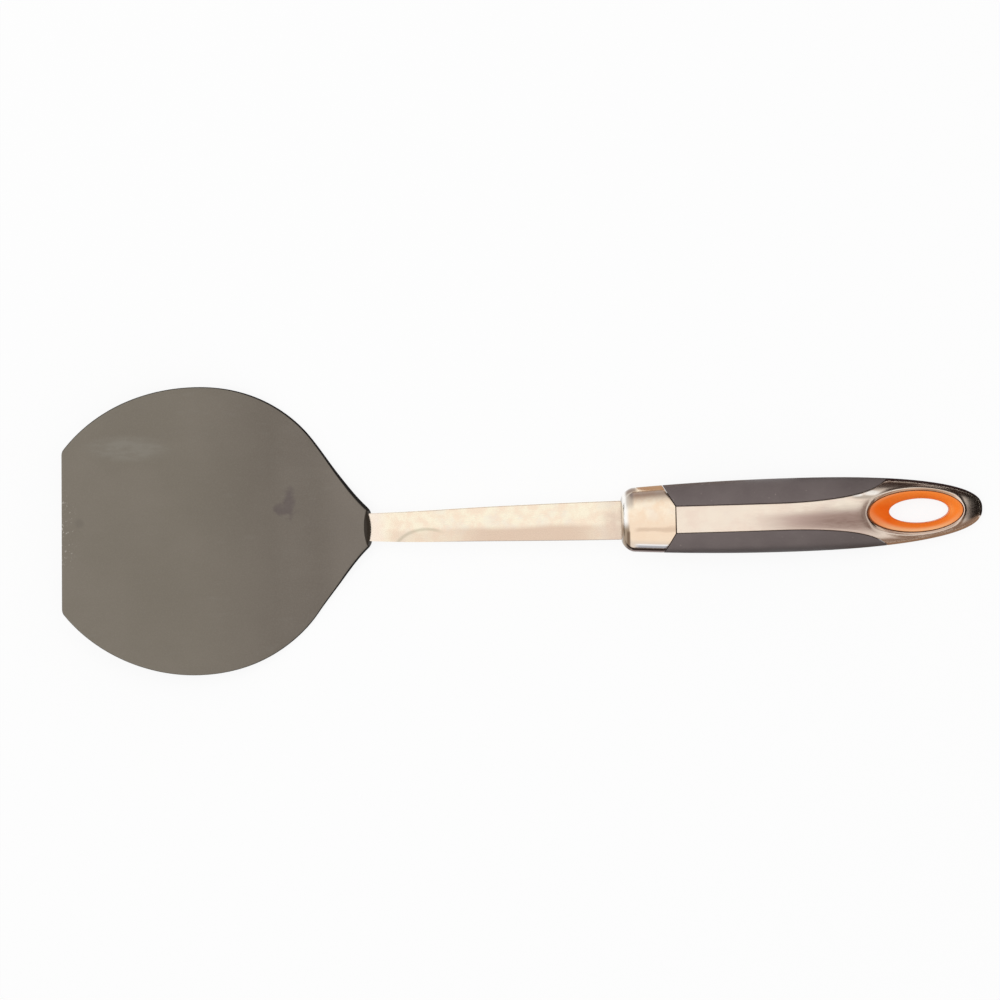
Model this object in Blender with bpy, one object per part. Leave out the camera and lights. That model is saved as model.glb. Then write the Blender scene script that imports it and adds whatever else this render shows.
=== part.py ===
"""A turner spatula: a round nylon blade, a flat steel shank and a two-shell handle with rubber grips.

Units are metres and +Z is up. The spatula lies as it does on a table: the heel of the blade and the
far end of the handle touch z = 0, and the front edge of the blade stands a little above it. +X runs
from the blade to the end of the handle, and the middle of its footprint is at the origin.
"""

import math

import bmesh
import bpy
import numpy as np
from mathutils import Matrix, Vector

# Clearance between pieces that touch on the real object
FIT_GAP = 0.0003
# How far a cutting shape runs past what it cuts
CUT_OVERRUN = 0.002

# Blade, measured along its own surface from the front edge
BLADE_WIDTH = 0.1115
BLADE_LENGTH = 0.1199
FRONT_TO_WIDEST = 0.0523
FRONT_OVAL_REACH_SHARE = 1.197
REAR_OVAL_REACH_SHARE = 0.8328
REAR_OVAL_SHARE = 2.1
FRONT_CORNER_RADIUS = 0.004
NECK_FLARE_LENGTH = 0.0215
NECK_WIDTH = 0.0158
NECK_CORNER_RADIUS = 0.001
NECK_SLOPE_SHARE = -0.85
FRONT_OVAL_REACH = FRONT_TO_WIDEST * FRONT_OVAL_REACH_SHARE
REAR_OVAL_REACH = (BLADE_LENGTH - FRONT_TO_WIDEST) * REAR_OVAL_REACH_SHARE

# Blade thickness
FRONT_EDGE_THICKNESS = 0.0009
FRONT_EDGE_ROUND = 0.0003
FRONT_EDGE_SHARE = 0.5
FRONT_TAPER_LENGTH = 0.018
BLADE_THICKNESS = 0.0017
BLADE_RIM_THICKNESS = 0.0011
RIM_FLAT_SHARE = 0.86
NECK_SWELL_LENGTH = 0.038
NECK_THICKNESS = 0.0066
NECK_RIM_THICKNESS = 0.0024
RIM_FALL_SHARE = 2.3
RIM_ROUND_SHARE = 0.35

# Side view of blade and shank: flat, up at the heel, straight, back down, straight
HEEL_TO_NECK = 0.0084
HEEL_BEND_LENGTH = 0.03
HEEL_ANGLE = math.radians(38)
NECK_STRAIGHT = 0.0167
SHANK_BEND_LENGTH = 0.02
SHANK_BEND_ANGLE = math.radians(22)
SHANK_STRAIGHT = 0.0706
HEEL_END = BLADE_LENGTH - HEEL_TO_NECK
HEEL_START = HEEL_END - HEEL_BEND_LENGTH
SHANK_BEND_START = HEEL_END + NECK_STRAIGHT
SHANK_BEND_END = SHANK_BEND_START + SHANK_BEND_LENGTH
COLLAR_FRONT = SHANK_BEND_END + SHANK_STRAIGHT

# Shank, a flat bar with a tang at each end
SHANK_THICKNESS = 0.0022
SHANK_NECK_WIDTH = 0.0107
SHANK_HANDLE_WIDTH = 0.0149
SHANK_WIDENING_SHARE = 1.4
SHANK_EDGE_ROUND = 0.0004
BLADE_TANG_LENGTH = 0.015
BLADE_TANG_WIDTH = 0.009
BLADE_TANG_TIP_WIDTH = 0.0084
ANCHOR_HOLE_DIAMETER = 0.004
ANCHOR_SHARES = (0.3, 0.733)
HANDLE_TANG_LENGTH = 0.056
HANDLE_TANG_TIP_WIDTH = 0.012

# Handle outside, measured from the front face of its steel collar
HANDLE_LENGTH = 0.1399
HANDLE_WIDTH = 0.0283
WIDEST_AT = 0.0642
FRONT_NARROWING = 0.0022
END_OUTLINE_SHARES = (2.32, 2.54)
COLLAR_HEIGHT = 0.0152
BELLY_HEIGHT = 0.0184
BELLY_AT = 0.055
LOOP_HEIGHT = 0.0104
LOOP_FROM_TIP = 0.0259
END_HEIGHT = 0.0078
TIP_ROUND_LENGTH = 0.011
HANDLE_DROP = 0.01
SECTION_SHARE = 2.6
LOOP_AT = HANDLE_LENGTH - LOOP_FROM_TIP

# Steel collar
COLLAR_WALL = 0.001
COLLAR_FRONT_WALL = 0.0015
COLLAR_ROUND_LENGTH = 0.0046
COLLAR_FACE_LAND = 0.00015
COLLAR_ROUND_TOP = 0.0036
COLLAR_ROUND_SHARE = 1.6
COLLAR_FRONT_SHARES = (0.0, 0.04, 0.13, 0.3, 0.56)
COLLAR_REAR_SHARES = (0.0, 0.35, 0.7, 1.0)
SEAM_AT_STRIP = 0.0207
SEAM_AT_SIDE = 0.016
COLLAR_FACE_HALF = SHANK_HANDLE_WIDTH / 2 + FIT_GAP + COLLAR_FACE_LAND
COLLAR_ROUND_SIDE = HANDLE_WIDTH / 2 - FRONT_NARROWING - COLLAR_FACE_HALF

# Strip and loop shells
STRIP_WIDTH = 0.0104
STRIP_FLARE_LENGTH = 0.0446
STRIP_FLARE_FROM_TIP = 0.0373
STRIP_FLARE_SHARES = ((0.6, 2.4), (0.4, 9.0))
SHELL_WALL = 0.0016
SHELL_EDGE_LAND = 0.0003
STUD_DIAMETER = 0.003
STUD_LENGTH = 0.0026
STRIP_FLARE_END = HANDLE_LENGTH - STRIP_FLARE_FROM_TIP
STRIP_FLARE_START = STRIP_FLARE_END - STRIP_FLARE_LENGTH

# Ring in the hanging hole
RING_FROM_TIP = 0.02665
RING_LENGTH = 0.0375
RING_WIDTH = 0.016
HOLE_FROM_TIP = 0.0249
HOLE_LENGTH = 0.0234
HOLE_WIDTH = 0.0094
RING_RECESS = 0.0003
RING_WAIST_HEIGHT = 0.0036
RING_FACE_SHARES = (0.0, 0.3, 0.65, 1.0)
FLANGE_REACH = 0.001
FLANGE_THICKNESS = 0.0016
RING_CENTRE = HANDLE_LENGTH - RING_FROM_TIP
HOLE_CENTRE = HANDLE_LENGTH - HOLE_FROM_TIP

# Grips, the core they sit on and the pins through the tang
GRIP_WALL = 0.0028
GRIP_TIP_HEIGHT = 0.0012
CORE_STEP_INSIDE_COLLAR = 0.0008
LOOP_BEFORE_RING = 0.0032
CORE_BEFORE_LOOP = 0.002
PIN_DIAMETER = 0.003
PIN_SHARES = (0.4375, 0.83)
CORE_STEP_AT = SEAM_AT_SIDE - CORE_STEP_INSIDE_COLLAR
LOOP_START = RING_CENTRE - RING_LENGTH / 2 - LOOP_BEFORE_RING
CORE_END = LOOP_START - CORE_BEFORE_LOOP
PIN_FROM_COLLAR = [share * HANDLE_TANG_LENGTH for share in PIN_SHARES]
STUD_FROM_COLLAR = (sum(PIN_FROM_COLLAR) / 2, (HANDLE_TANG_LENGTH + CORE_END) / 2)

# Facets, and the angle up to which neighbouring ones are shaded as one round surface
SMOOTH_UP_TO = math.radians(35)
ROUND_FACETS = 40
SMALL_ROUND_FACETS = 20
ACROSS_FACETS = 12
BLADE_FRONT_FACETS = 13
BLADE_FLAT_FACETS = 5
HEEL_FACETS = 11
NECK_FACETS = 3
TANG_FACETS = 3
BEND_FACETS = 8
SHANK_FACETS = 6
CORE_FACETS = 8
STRIP_LENGTH_FACETS = 12
GRIP_LENGTH_FACETS = 18
STRIP_FACETS = 8
GRIP_FACETS = 10
LOOP_SIDE_FACETS = 14
LOOP_ROWS = 4


class Surface:
    """Points and faces of one closed shape, built row by row."""

    def __init__(self):
        self.points = []
        self.faces = []

    def row(self, points):
        start = len(self.points)
        self.points.extend(tuple(map(float, point)) for point in points)
        return list(range(start, len(self.points)))

    def join(self, first, second, closed=False):
        steps = len(first) if closed else len(first) - 1
        for i in range(steps):
            j = (i + 1) % len(first)
            self.faces.append((first[i], first[j], second[j], second[i]))

    def join_all(self, rows, closed=False):
        for first, second in zip(rows, rows[1:]):
            self.join(first, second, closed)

    def cap(self, row):
        self.faces.append(tuple(row))


def smooth(share):
    """0 to 1, level at both ends."""
    share = min(max(share, 0.0), 1.0)
    return share * share * (3.0 - 2.0 * share)


def mix(first, second, share):
    return first + (second - first) * share


def signed_power(value, power):
    return math.copysign(abs(value) ** power, value)


def clear_scene():
    for old in list(bpy.data.objects):
        bpy.data.objects.remove(old, do_unlink=True)


def plastic_or_metal(name, colour, roughness, metallic=0.0):
    material = bpy.data.materials.new(name)
    material.use_nodes = True
    shader = material.node_tree.nodes["Principled BSDF"]
    shader.inputs["Base Color"].default_value = (*colour, 1.0)
    shader.inputs["Roughness"].default_value = roughness
    shader.inputs["Metallic"].default_value = metallic
    material.diffuse_color = (*colour, 1.0)
    return material


def blade_nylon():
    return plastic_or_metal("blade_nylon", (0.19, 0.164, 0.133), 0.45)


def shank_steel():
    return plastic_or_metal("shank_steel", (0.95, 0.83, 0.66), 0.22, 1.0)


def collar_steel():
    return plastic_or_metal("collar_steel", (0.95, 0.8, 0.62), 0.14, 1.0)


def shell_steel():
    return plastic_or_metal("shell_steel", (0.86, 0.72, 0.62), 0.25, 1.0)


def grip_rubber():
    return plastic_or_metal("grip_rubber", (0.145, 0.118, 0.113), 0.6)


def ring_plastic():
    return plastic_or_metal("ring_plastic", (0.97, 0.2, 0.02), 0.4)


def core_plastic():
    return plastic_or_metal("core_plastic", (0.05, 0.05, 0.052), 0.55)


def pin_steel():
    return plastic_or_metal("pin_steel", (0.56, 0.56, 0.58), 0.35, 1.0)


def new_object(name, surface, parent, material=None):
    """A mesh object with its faces turned outwards and round stretches shaded smooth."""
    mesh = bpy.data.meshes.new(name)
    mesh.from_pydata(surface.points, [], surface.faces)
    work = bmesh.new()
    work.from_mesh(mesh)
    bmesh.ops.recalc_face_normals(work, faces=work.faces)
    work.to_mesh(mesh)
    work.free()
    mesh.shade_smooth()
    mesh.set_sharp_from_angle(angle=SMOOTH_UP_TO)
    made = bpy.data.objects.new(name, mesh)
    bpy.context.scene.collection.objects.link(made)
    made.parent = parent
    if material:
        mesh.materials.append(material)
    else:
        made.hide_render = True
        made.display_type = "WIRE"
    return made


def empty(name, parent=None):
    made = bpy.data.objects.new(name, None)
    bpy.context.scene.collection.objects.link(made)
    made.parent = parent
    return made


def round_bar(radius, low, high, placed):
    """A round bar along its own z, from low to high, put in place by a matrix; a flat faces along x."""
    surface = Surface()
    rows = []
    for height in (low, high):
        ring = []
        for k in range(SMALL_ROUND_FACETS):
            angle = math.tau * (k + 0.5) / SMALL_ROUND_FACETS
            ring.append(placed @ Vector((radius * math.cos(angle), radius * math.sin(angle), height)))
        rows.append(surface.row(ring))
    surface.join(*rows, closed=True)
    surface.cap(rows[0])
    surface.cap(rows[1])
    return surface


def boolean(target, tool, operation):
    modifier = target.modifiers.new(tool.name, "BOOLEAN")
    modifier.operation = operation
    modifier.object = tool
    modifier.solver = "EXACT"


# Side view


def path(distance):
    """Where the middle surface of blade and shank is, this far from the front edge: x, z and slope."""
    x = z = slope = 0.0
    stretches = (
        (HEEL_START, 0.0),
        (HEEL_BEND_LENGTH, HEEL_ANGLE),
        (NECK_STRAIGHT, 0.0),
        (SHANK_BEND_LENGTH, -SHANK_BEND_ANGLE),
        (math.inf, 0.0),
    )
    for length, turn in stretches:
        step = min(distance, length)
        if turn:
            radius = length / turn
            end = slope + step / radius
            x += radius * (math.sin(end) - math.sin(slope))
            z += radius * (math.cos(slope) - math.cos(end))
            slope = end
        else:
            x += step * math.cos(slope)
            z += step * math.sin(slope)
        distance -= step
        if distance <= 0.0:
            break
    return x, z, slope


def off_path(distance, across, above):
    """A point beside the path: so far across it, and so far above its middle surface."""
    x, z, slope = path(distance)
    return x - above * math.sin(slope), across, z + above * math.cos(slope)


def path_matrix(distance):
    """Puts a shape on the path with its z square to the middle surface."""
    x, z, slope = path(distance)
    return Matrix.Translation((x, 0.0, z)) @ Matrix.Rotation(-slope, 4, "Y")


# Blade


def oval_half_width(distance):
    """Half of an ellipse in front of the widest place, and a slightly fuller oval behind it."""
    if distance < FRONT_TO_WIDEST:
        share = (FRONT_TO_WIDEST - distance) / FRONT_OVAL_REACH
        return BLADE_WIDTH / 2 * math.sqrt(max(1.0 - share**2, 0.0))
    share = (distance - FRONT_TO_WIDEST) / REAR_OVAL_REACH
    return BLADE_WIDTH / 2 * max(1.0 - share**REAR_OVAL_SHARE, 0.0) ** (1.0 / REAR_OVAL_SHARE)


def front_corner():
    """Where the round front corner starts across the front edge, and how far back it ends."""
    reach_share = FRONT_TO_WIDEST / FRONT_OVAL_REACH
    side_slope = BLADE_WIDTH / 2 / FRONT_OVAL_REACH * reach_share / math.sqrt(1.0 - reach_share**2)
    sweep = math.atan(1.0 / side_slope)
    start = oval_half_width(0.0) - FRONT_CORNER_RADIUS * math.tan(sweep / 2)
    return start, FRONT_CORNER_RADIUS * (1.0 - math.cos(sweep))


def flare_half_width(distance):
    """The sides from the oval to the neck: one curve that leaves the oval in its own direction."""
    start = BLADE_LENGTH - NECK_FLARE_LENGTH
    share = (distance - start) / NECK_FLARE_LENGTH
    start_half = oval_half_width(start)
    start_slope = (start_half - oval_half_width(start - NECK_CORNER_RADIUS)) / NECK_CORNER_RADIUS
    return (
        start_half * (1.0 - smooth(share))
        + NECK_WIDTH / 2 * smooth(share)
        + start_slope * NECK_FLARE_LENGTH * share * (1.0 - share) ** 2
        - NECK_SLOPE_SHARE * NECK_FLARE_LENGTH * share**2 * (1.0 - share)
    )


def blade_half_width(distance):
    if distance > BLADE_LENGTH - NECK_FLARE_LENGTH:
        half = flare_half_width(distance)
    else:
        half = oval_half_width(distance)
    corner_start, corner_end = front_corner()
    if distance < corner_end:
        arc = FRONT_CORNER_RADIUS**2 - (FRONT_CORNER_RADIUS - distance) ** 2
        half = min(half, corner_start + math.sqrt(arc))
    past_corner = distance - (BLADE_LENGTH - NECK_CORNER_RADIUS)
    if past_corner > 0.0:
        arc = max(NECK_CORNER_RADIUS**2 - past_corner**2, 0.0)
        half = min(half, NECK_WIDTH / 2 - NECK_CORNER_RADIUS + math.sqrt(arc))
    return half


def blade_thickness(distance, across_share):
    """Even over the blade, thin at the front edge and the rim, and swollen round the tang at the neck."""
    swell = smooth((distance - BLADE_LENGTH + NECK_SWELL_LENGTH) / NECK_SWELL_LENGTH)
    front = smooth(distance / FRONT_TAPER_LENGTH)
    middle = mix(mix(FRONT_EDGE_THICKNESS, BLADE_THICKNESS, front), NECK_THICKNESS, swell)
    rim = mix(min(BLADE_RIM_THICKNESS, middle), NECK_RIM_THICKNESS, swell)
    flat_share = mix(RIM_FLAT_SHARE, 0.0, swell)
    outward = max(abs(across_share) - flat_share, 0.0) / (1.0 - flat_share)
    round_off = mix(FRONT_EDGE_SHARE, 1.0, min(distance / FRONT_EDGE_ROUND, 1.0))
    return mix(middle, rim, outward**RIM_FALL_SHARE) * round_off


def steps(start, end, count):
    """Evenly spaced values from start to end, both included."""
    return list(np.linspace(start, end, count + 1))


def sine_steps(count):
    """Values from 0 to 1 that close up towards 1."""
    return [math.sin(math.pi / 2 * i / count) for i in range(count + 1)]


def both_sides(shares):
    """The same values mirrored to below zero, from -1 to 1."""
    return [-share for share in shares[:0:-1]] + shares


def blade_stations():
    """Distances from the front edge at which the blade has a cross-section, closer at its front corners."""
    shares = [share**2 for share in steps(0.0, 1.0, BLADE_FRONT_FACETS)]
    front = [mix(FRONT_EDGE_ROUND, FRONT_TO_WIDEST, share) for share in shares]
    flat = steps(FRONT_TO_WIDEST, HEEL_START, BLADE_FLAT_FACETS)[1:]
    bend = steps(HEEL_START, HEEL_END, HEEL_FACETS)[1:]
    neck = steps(HEEL_END, BLADE_LENGTH - NECK_CORNER_RADIUS, NECK_FACETS)[1:]
    corner = [mix(neck[-1], BLADE_LENGTH, share) for share in sine_steps(NECK_FACETS)[1:]]
    return [0.0] + front + flat + bend + neck + corner


def blade_section(distance):
    half = blade_half_width(distance)
    rim_round = RIM_ROUND_SHARE * blade_thickness(distance, 1.0)
    shares = both_sides(sine_steps(ACROSS_FACETS // 2))
    top = []
    bottom = []
    for share in shares:
        above = blade_thickness(distance, share) / 2
        across = share * (half - rim_round)
        top.append(off_path(distance, across, above))
        bottom.append(off_path(distance, across, -above))
    right = off_path(distance, half, 0.0)
    left = off_path(distance, -half, 0.0)
    return top + [right] + bottom[::-1] + [left]


def make_blade(parent):
    surface = Surface()
    rows = [surface.row(blade_section(distance)) for distance in blade_stations()]
    surface.join_all(rows, closed=True)
    surface.cap(rows[0])
    surface.cap(rows[-1])
    blade = new_object("blade", surface, parent, blade_nylon())

    pocket = new_object("tang_pocket_cutter", blade_tang_pocket(), parent)
    for number, distance in enumerate(anchor_distances()):
        reach = NECK_THICKNESS
        radius = ANCHOR_HOLE_DIAMETER / 2 - FIT_GAP
        post = round_bar(radius, -reach, reach, path_matrix(distance))
        boolean(pocket, new_object(f"anchor_post_{number}_cutter", post, parent), "DIFFERENCE")
    boolean(blade, pocket, "DIFFERENCE")


# Shank


def blade_tang_half(distance):
    share = (BLADE_LENGTH - distance) / BLADE_TANG_LENGTH
    return mix(BLADE_TANG_WIDTH, BLADE_TANG_TIP_WIDTH, share) / 2


def shank_half(distance):
    """Half width from the blade's neck, widening to the collar and then narrowing along the tang."""
    if distance > COLLAR_FRONT:
        share = (distance - COLLAR_FRONT) / HANDLE_TANG_LENGTH
        return mix(SHANK_HANDLE_WIDTH, HANDLE_TANG_TIP_WIDTH, share) / 2
    share = (distance - BLADE_LENGTH) / (COLLAR_FRONT - BLADE_LENGTH)
    return mix(SHANK_HANDLE_WIDTH, SHANK_NECK_WIDTH, (1.0 - share) ** SHANK_WIDENING_SHARE) / 2


def bar_section(half, above, edge_round):
    """Across and above of a flat bar's eight corners."""
    quarter = ((half - edge_round, above), (half, above - edge_round))
    right = quarter + tuple((across, -up) for across, up in quarter[::-1])
    left = tuple((-across, up) for across, up in right[::-1])
    return right + left


def bar_surface(sections, clearance=0.0):
    """A flat bar along the path, from its half width at each distance."""
    surface = Surface()
    rows = []
    for distance, half in sections:
        corners = bar_section(half + clearance, SHANK_THICKNESS / 2 + clearance, SHANK_EDGE_ROUND)
        rows.append(surface.row([off_path(distance, across, above) for across, above in corners]))
    surface.join_all(rows, closed=True)
    surface.cap(rows[0])
    surface.cap(rows[-1])
    return surface


def blade_tang(start, end):
    """Sections of the tang inside the blade, which follows the last of the heel's bend."""
    stations = steps(start, HEEL_END, TANG_FACETS) + [end]
    return [(distance, blade_tang_half(distance)) for distance in stations]


def anchor_distances():
    return [BLADE_LENGTH - share * BLADE_TANG_LENGTH for share in ANCHOR_SHARES]


def blade_tang_pocket():
    inner = BLADE_LENGTH - BLADE_TANG_LENGTH - FIT_GAP
    return bar_surface(blade_tang(inner, BLADE_LENGTH + CUT_OVERRUN), FIT_GAP)


def make_shank(parent):
    shoulder = BLADE_LENGTH + FIT_GAP
    stations = [shoulder + SHANK_EDGE_ROUND]
    stations += steps(SHANK_BEND_START, SHANK_BEND_END, BEND_FACETS)
    stations += steps(SHANK_BEND_END, COLLAR_FRONT, SHANK_FACETS)[1:]
    stations += [COLLAR_FRONT + HANDLE_TANG_LENGTH]
    sections = blade_tang(BLADE_LENGTH - BLADE_TANG_LENGTH, shoulder)
    sections += [(distance, shank_half(distance)) for distance in stations]
    shank = new_object("shank", bar_surface(sections), parent, shank_steel())
    places = [(ANCHOR_HOLE_DIAMETER / 2, distance) for distance in anchor_distances()]
    places += [(PIN_DIAMETER / 2 + FIT_GAP, COLLAR_FRONT + along) for along in PIN_FROM_COLLAR]
    for number, (radius, distance) in enumerate(places):
        hole = round_bar(radius, -CUT_OVERRUN, CUT_OVERRUN, path_matrix(distance))
        boolean(shank, new_object(f"shank_hole_{number}_cutter", hole, parent), "DIFFERENCE")


# Handle outside


def spine(along):
    """Height of the handle's parting plane, which curves down towards the end."""
    return -HANDLE_DROP * (along / HANDLE_LENGTH) ** 2


def half_width(along):
    if along < WIDEST_AT:
        return HANDLE_WIDTH / 2 - FRONT_NARROWING * (1.0 - along / WIDEST_AT) ** 2
    share = min((along - WIDEST_AT) / (HANDLE_LENGTH - WIDEST_AT), 1.0)
    fullness, squareness = END_OUTLINE_SHARES
    return HANDLE_WIDTH / 2 * (1.0 - share**fullness) ** (1.0 / squareness)


def half_height(along):
    to_belly = smooth(along / BELLY_AT)
    to_loop = smooth((along - BELLY_AT) / (LOOP_AT - BELLY_AT))
    to_end = smooth((along - LOOP_AT) / (HANDLE_LENGTH - LOOP_AT))
    height = mix(mix(mix(COLLAR_HEIGHT, BELLY_HEIGHT, to_belly), LOOP_HEIGHT, to_loop), END_HEIGHT, to_end)
    past = max(1.0 - (HANDLE_LENGTH - along) / TIP_ROUND_LENGTH, 0.0)
    return height / 2 * math.sqrt(max(1.0 - past**2, 0.0))


def outer_height(along, across):
    """Height of the outside above the parting plane."""
    half = max(half_width(along), FIT_GAP)
    share = min(abs(across) / half, 1.0)
    return half_height(along) * (1.0 - share**SECTION_SHARE) ** (1.0 / SECTION_SHARE)


def collar_round(along, front):
    """1 at a front face this far along, falling to 0 where the collar's rounded front edge ends."""
    share = min(max((along - front) / (COLLAR_ROUND_LENGTH - front), 0.0), 1.0)
    return 1.0 - (1.0 - (1.0 - share) ** COLLAR_ROUND_SHARE) ** (1.0 / COLLAR_ROUND_SHARE)


def section_halves(along, side_inset, top_inset, front):
    """Half width and half height of the handle's section, set in from the outside."""
    rounding = collar_round(along, front)
    half = half_width(along) - side_inset - (COLLAR_ROUND_SIDE - side_inset) * rounding
    above = half_height(along) - top_inset - (COLLAR_ROUND_TOP - top_inset) * rounding
    return half, above


def on_section(along, angle, halves):
    half, above = halves
    across = half * signed_power(math.cos(angle), 2.0 / SECTION_SHARE)
    up = above * signed_power(math.sin(angle), 2.0 / SECTION_SHARE)
    return along, across, spine(along) + up


def round_angles():
    return [math.tau * k / ROUND_FACETS for k in range(ROUND_FACETS)]


def section_ring(along, side_inset, top_inset, front):
    halves = section_halves(along, side_inset, top_inset, front)
    return [on_section(along, angle, halves) for angle in round_angles()]


def strip_half_width(along):
    """Half width of the steel strip between the grips, which flares into the loop."""
    share = max((along - STRIP_FLARE_START) / (STRIP_FLARE_END - STRIP_FLARE_START), 0.0)
    flare = sum(part * share**power for part, power in STRIP_FLARE_SHARES)
    return mix(STRIP_WIDTH / 2, half_width(STRIP_FLARE_END), flare)


def seam(across):
    """How far back the collar reaches: furthest at the strip, least at the handle's sides."""
    side = half_width(SEAM_AT_SIDE)
    share = (abs(across) - STRIP_WIDTH / 2) / (side - STRIP_WIDTH / 2)
    return mix(SEAM_AT_STRIP, SEAM_AT_SIDE, min(max(share, 0.0), 1.0))


# Collar


def slot_ring(along):
    """Outline of the shank's slot, with as many points as a section of the handle."""
    half = SHANK_HANDLE_WIDTH / 2 + FIT_GAP
    above = SHANK_THICKNESS / 2 + FIT_GAP
    ring = []
    for angle in round_angles():
        stretch = max(abs(math.cos(angle)), abs(math.sin(angle)))
        ring.append((along, half * math.cos(angle) / stretch, above * math.sin(angle) / stretch))
    return ring


def collar_row(share, side_inset, top_inset, front):
    """A ring between the collar's rounded front edge, at 0, and its rear seam, at 1."""
    start = COLLAR_ROUND_LENGTH
    ring = []
    for angle in round_angles():
        along = SEAM_AT_SIDE
        for _ in range(3):
            halves = section_halves(along, side_inset, top_inset, front)
            along = mix(start, seam(on_section(along, angle, halves)[1]), share)
        ring.append(on_section(along, angle, section_halves(along, side_inset, top_inset, front)))
    return ring


def collar_skin(side_inset, top_inset, front):
    """Rings from the front face back to the seam."""
    places = [mix(front, COLLAR_ROUND_LENGTH, share) for share in COLLAR_FRONT_SHARES]
    rings = [section_ring(along, side_inset, top_inset, front) for along in places]
    return rings + [collar_row(share, side_inset, top_inset, front) for share in COLLAR_REAR_SHARES]


def make_collar(parent):
    surface = Surface()
    outside = collar_skin(0.0, 0.0, 0.0)
    inside = collar_skin(COLLAR_WALL, COLLAR_WALL, COLLAR_FRONT_WALL)
    rings = [slot_ring(0.0)] + outside + inside[::-1] + [slot_ring(COLLAR_FRONT_WALL)]
    rows = [surface.row(ring) for ring in rings]
    surface.join_all(rows, closed=True)
    surface.join(rows[-1], rows[0], closed=True)
    new_object("ferrule", surface, parent, collar_steel())


# Core, its sockets and the pins through the tang


def handle_bar(radius, along, low, high):
    return round_bar(radius, low, high, Matrix.Translation((along, 0.0, spine(along))))


def core_top(along):
    return half_height(along) - SHELL_WALL - FIT_GAP


def tang_slot():
    """Cuts the core open for the tang, from its front face to just past the tang's end."""
    surface = Surface()
    rows = []
    length = HANDLE_TANG_LENGTH + FIT_GAP
    for along in (0.0, length):
        half = shank_half(COLLAR_FRONT + along) + FIT_GAP
        above = SHANK_THICKNESS / 2 + FIT_GAP
        corners = ((half, above), (half, -above), (-half, -above), (-half, above))
        rows.append(surface.row([(along, across, up) for across, up in corners]))
    surface.join(*rows, closed=True)
    surface.cap(rows[0])
    surface.cap(rows[1])
    return surface


def make_core(parent):
    front = COLLAR_FRONT_WALL + FIT_GAP
    inside_collar = COLLAR_WALL + FIT_GAP
    side_inset = GRIP_WALL + FIT_GAP
    top_inset = SHELL_WALL + FIT_GAP
    places = [mix(front, COLLAR_ROUND_LENGTH, share) for share in COLLAR_FRONT_SHARES]
    rings = [section_ring(along, inside_collar, inside_collar, front) for along in places]
    rings.append(section_ring(CORE_STEP_AT, inside_collar, inside_collar, front))
    for along in steps(CORE_STEP_AT, CORE_END, CORE_FACETS):
        rings.append(section_ring(along, side_inset, top_inset, front))
    surface = Surface()
    rows = [surface.row(ring) for ring in rings]
    surface.join_all(rows, closed=True)
    surface.cap(rows[0])
    surface.cap(rows[-1])
    core = new_object("handle_core", surface, parent, core_plastic())
    boolean(core, new_object("tang_slot_cutter", tang_slot(), parent), "DIFFERENCE")
    for number, along in enumerate(PIN_FROM_COLLAR):
        reach = BELLY_HEIGHT
        hole = handle_bar(PIN_DIAMETER / 2 + FIT_GAP, along, -reach, reach)
        boolean(core, new_object(f"pin_hole_{number}_cutter", hole, parent), "DIFFERENCE")
    for number, along in enumerate(STUD_FROM_COLLAR):
        low = core_top(along) - STUD_LENGTH
        high = core_top(along) + CUT_OVERRUN
        radius = STUD_DIAMETER / 2 + FIT_GAP
        upper = handle_bar(radius, along, low, high)
        lower = handle_bar(radius, along, -high, -low)
        boolean(core, new_object(f"upper_socket_{number}_cutter", upper, parent), "DIFFERENCE")
        boolean(core, new_object(f"lower_socket_{number}_cutter", lower, parent), "DIFFERENCE")


def make_pin(name, along, parent):
    end = core_top(along) - FIT_GAP
    pin = handle_bar(PIN_DIAMETER / 2, along, -end, end)
    new_object(name, pin, parent, pin_steel())


# Grips


def grip_edge(along):
    return strip_half_width(along) + FIT_GAP / 2


def edge_angle(across, half):
    """The angle on a section of this half width at which it is this far from the middle."""
    return math.acos(min(across / half, 1.0) ** (SECTION_SHARE / 2.0))


def grip_end():
    """Where the strip's flare leaves the grip only its tip's height."""
    low, high = LOOP_START, STRIP_FLARE_END
    for _ in range(40):
        middle = (low + high) / 2
        if outer_height(middle, grip_edge(middle)) > GRIP_TIP_HEIGHT / 2:
            low = middle
        else:
            high = middle
    return low


def grip_point(share, level, inner, front):
    """A point of a grip: share runs from front to tip, and level from bottom edge to top edge."""
    side_inset, top_inset = (GRIP_WALL, SHELL_WALL) if inner else (0.0, 0.0)
    end = grip_end()
    along = SEAM_AT_SIDE
    for _ in range(4):
        half, above = section_halves(along, side_inset, top_inset, front)
        edge = grip_edge(along)
        angle = level * edge_angle(edge, half) if edge < half else 0.0
        place = on_section(along, angle, (half, above))
        start = seam(max(place[1], edge)) + FIT_GAP
        along = mix(start, end, share)
    half, above = section_halves(along, side_inset, top_inset, front)
    edge = grip_edge(along)
    if edge < half:
        _, across, up = on_section(along, level * edge_angle(edge, half), (half, above))
        up -= spine(along)
    else:
        across, up = edge, 0.0
    land = level * GRIP_TIP_HEIGHT / 4
    if inner and abs(up) < abs(land):
        up = land
    return along, max(across, edge), spine(along) + up


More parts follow.
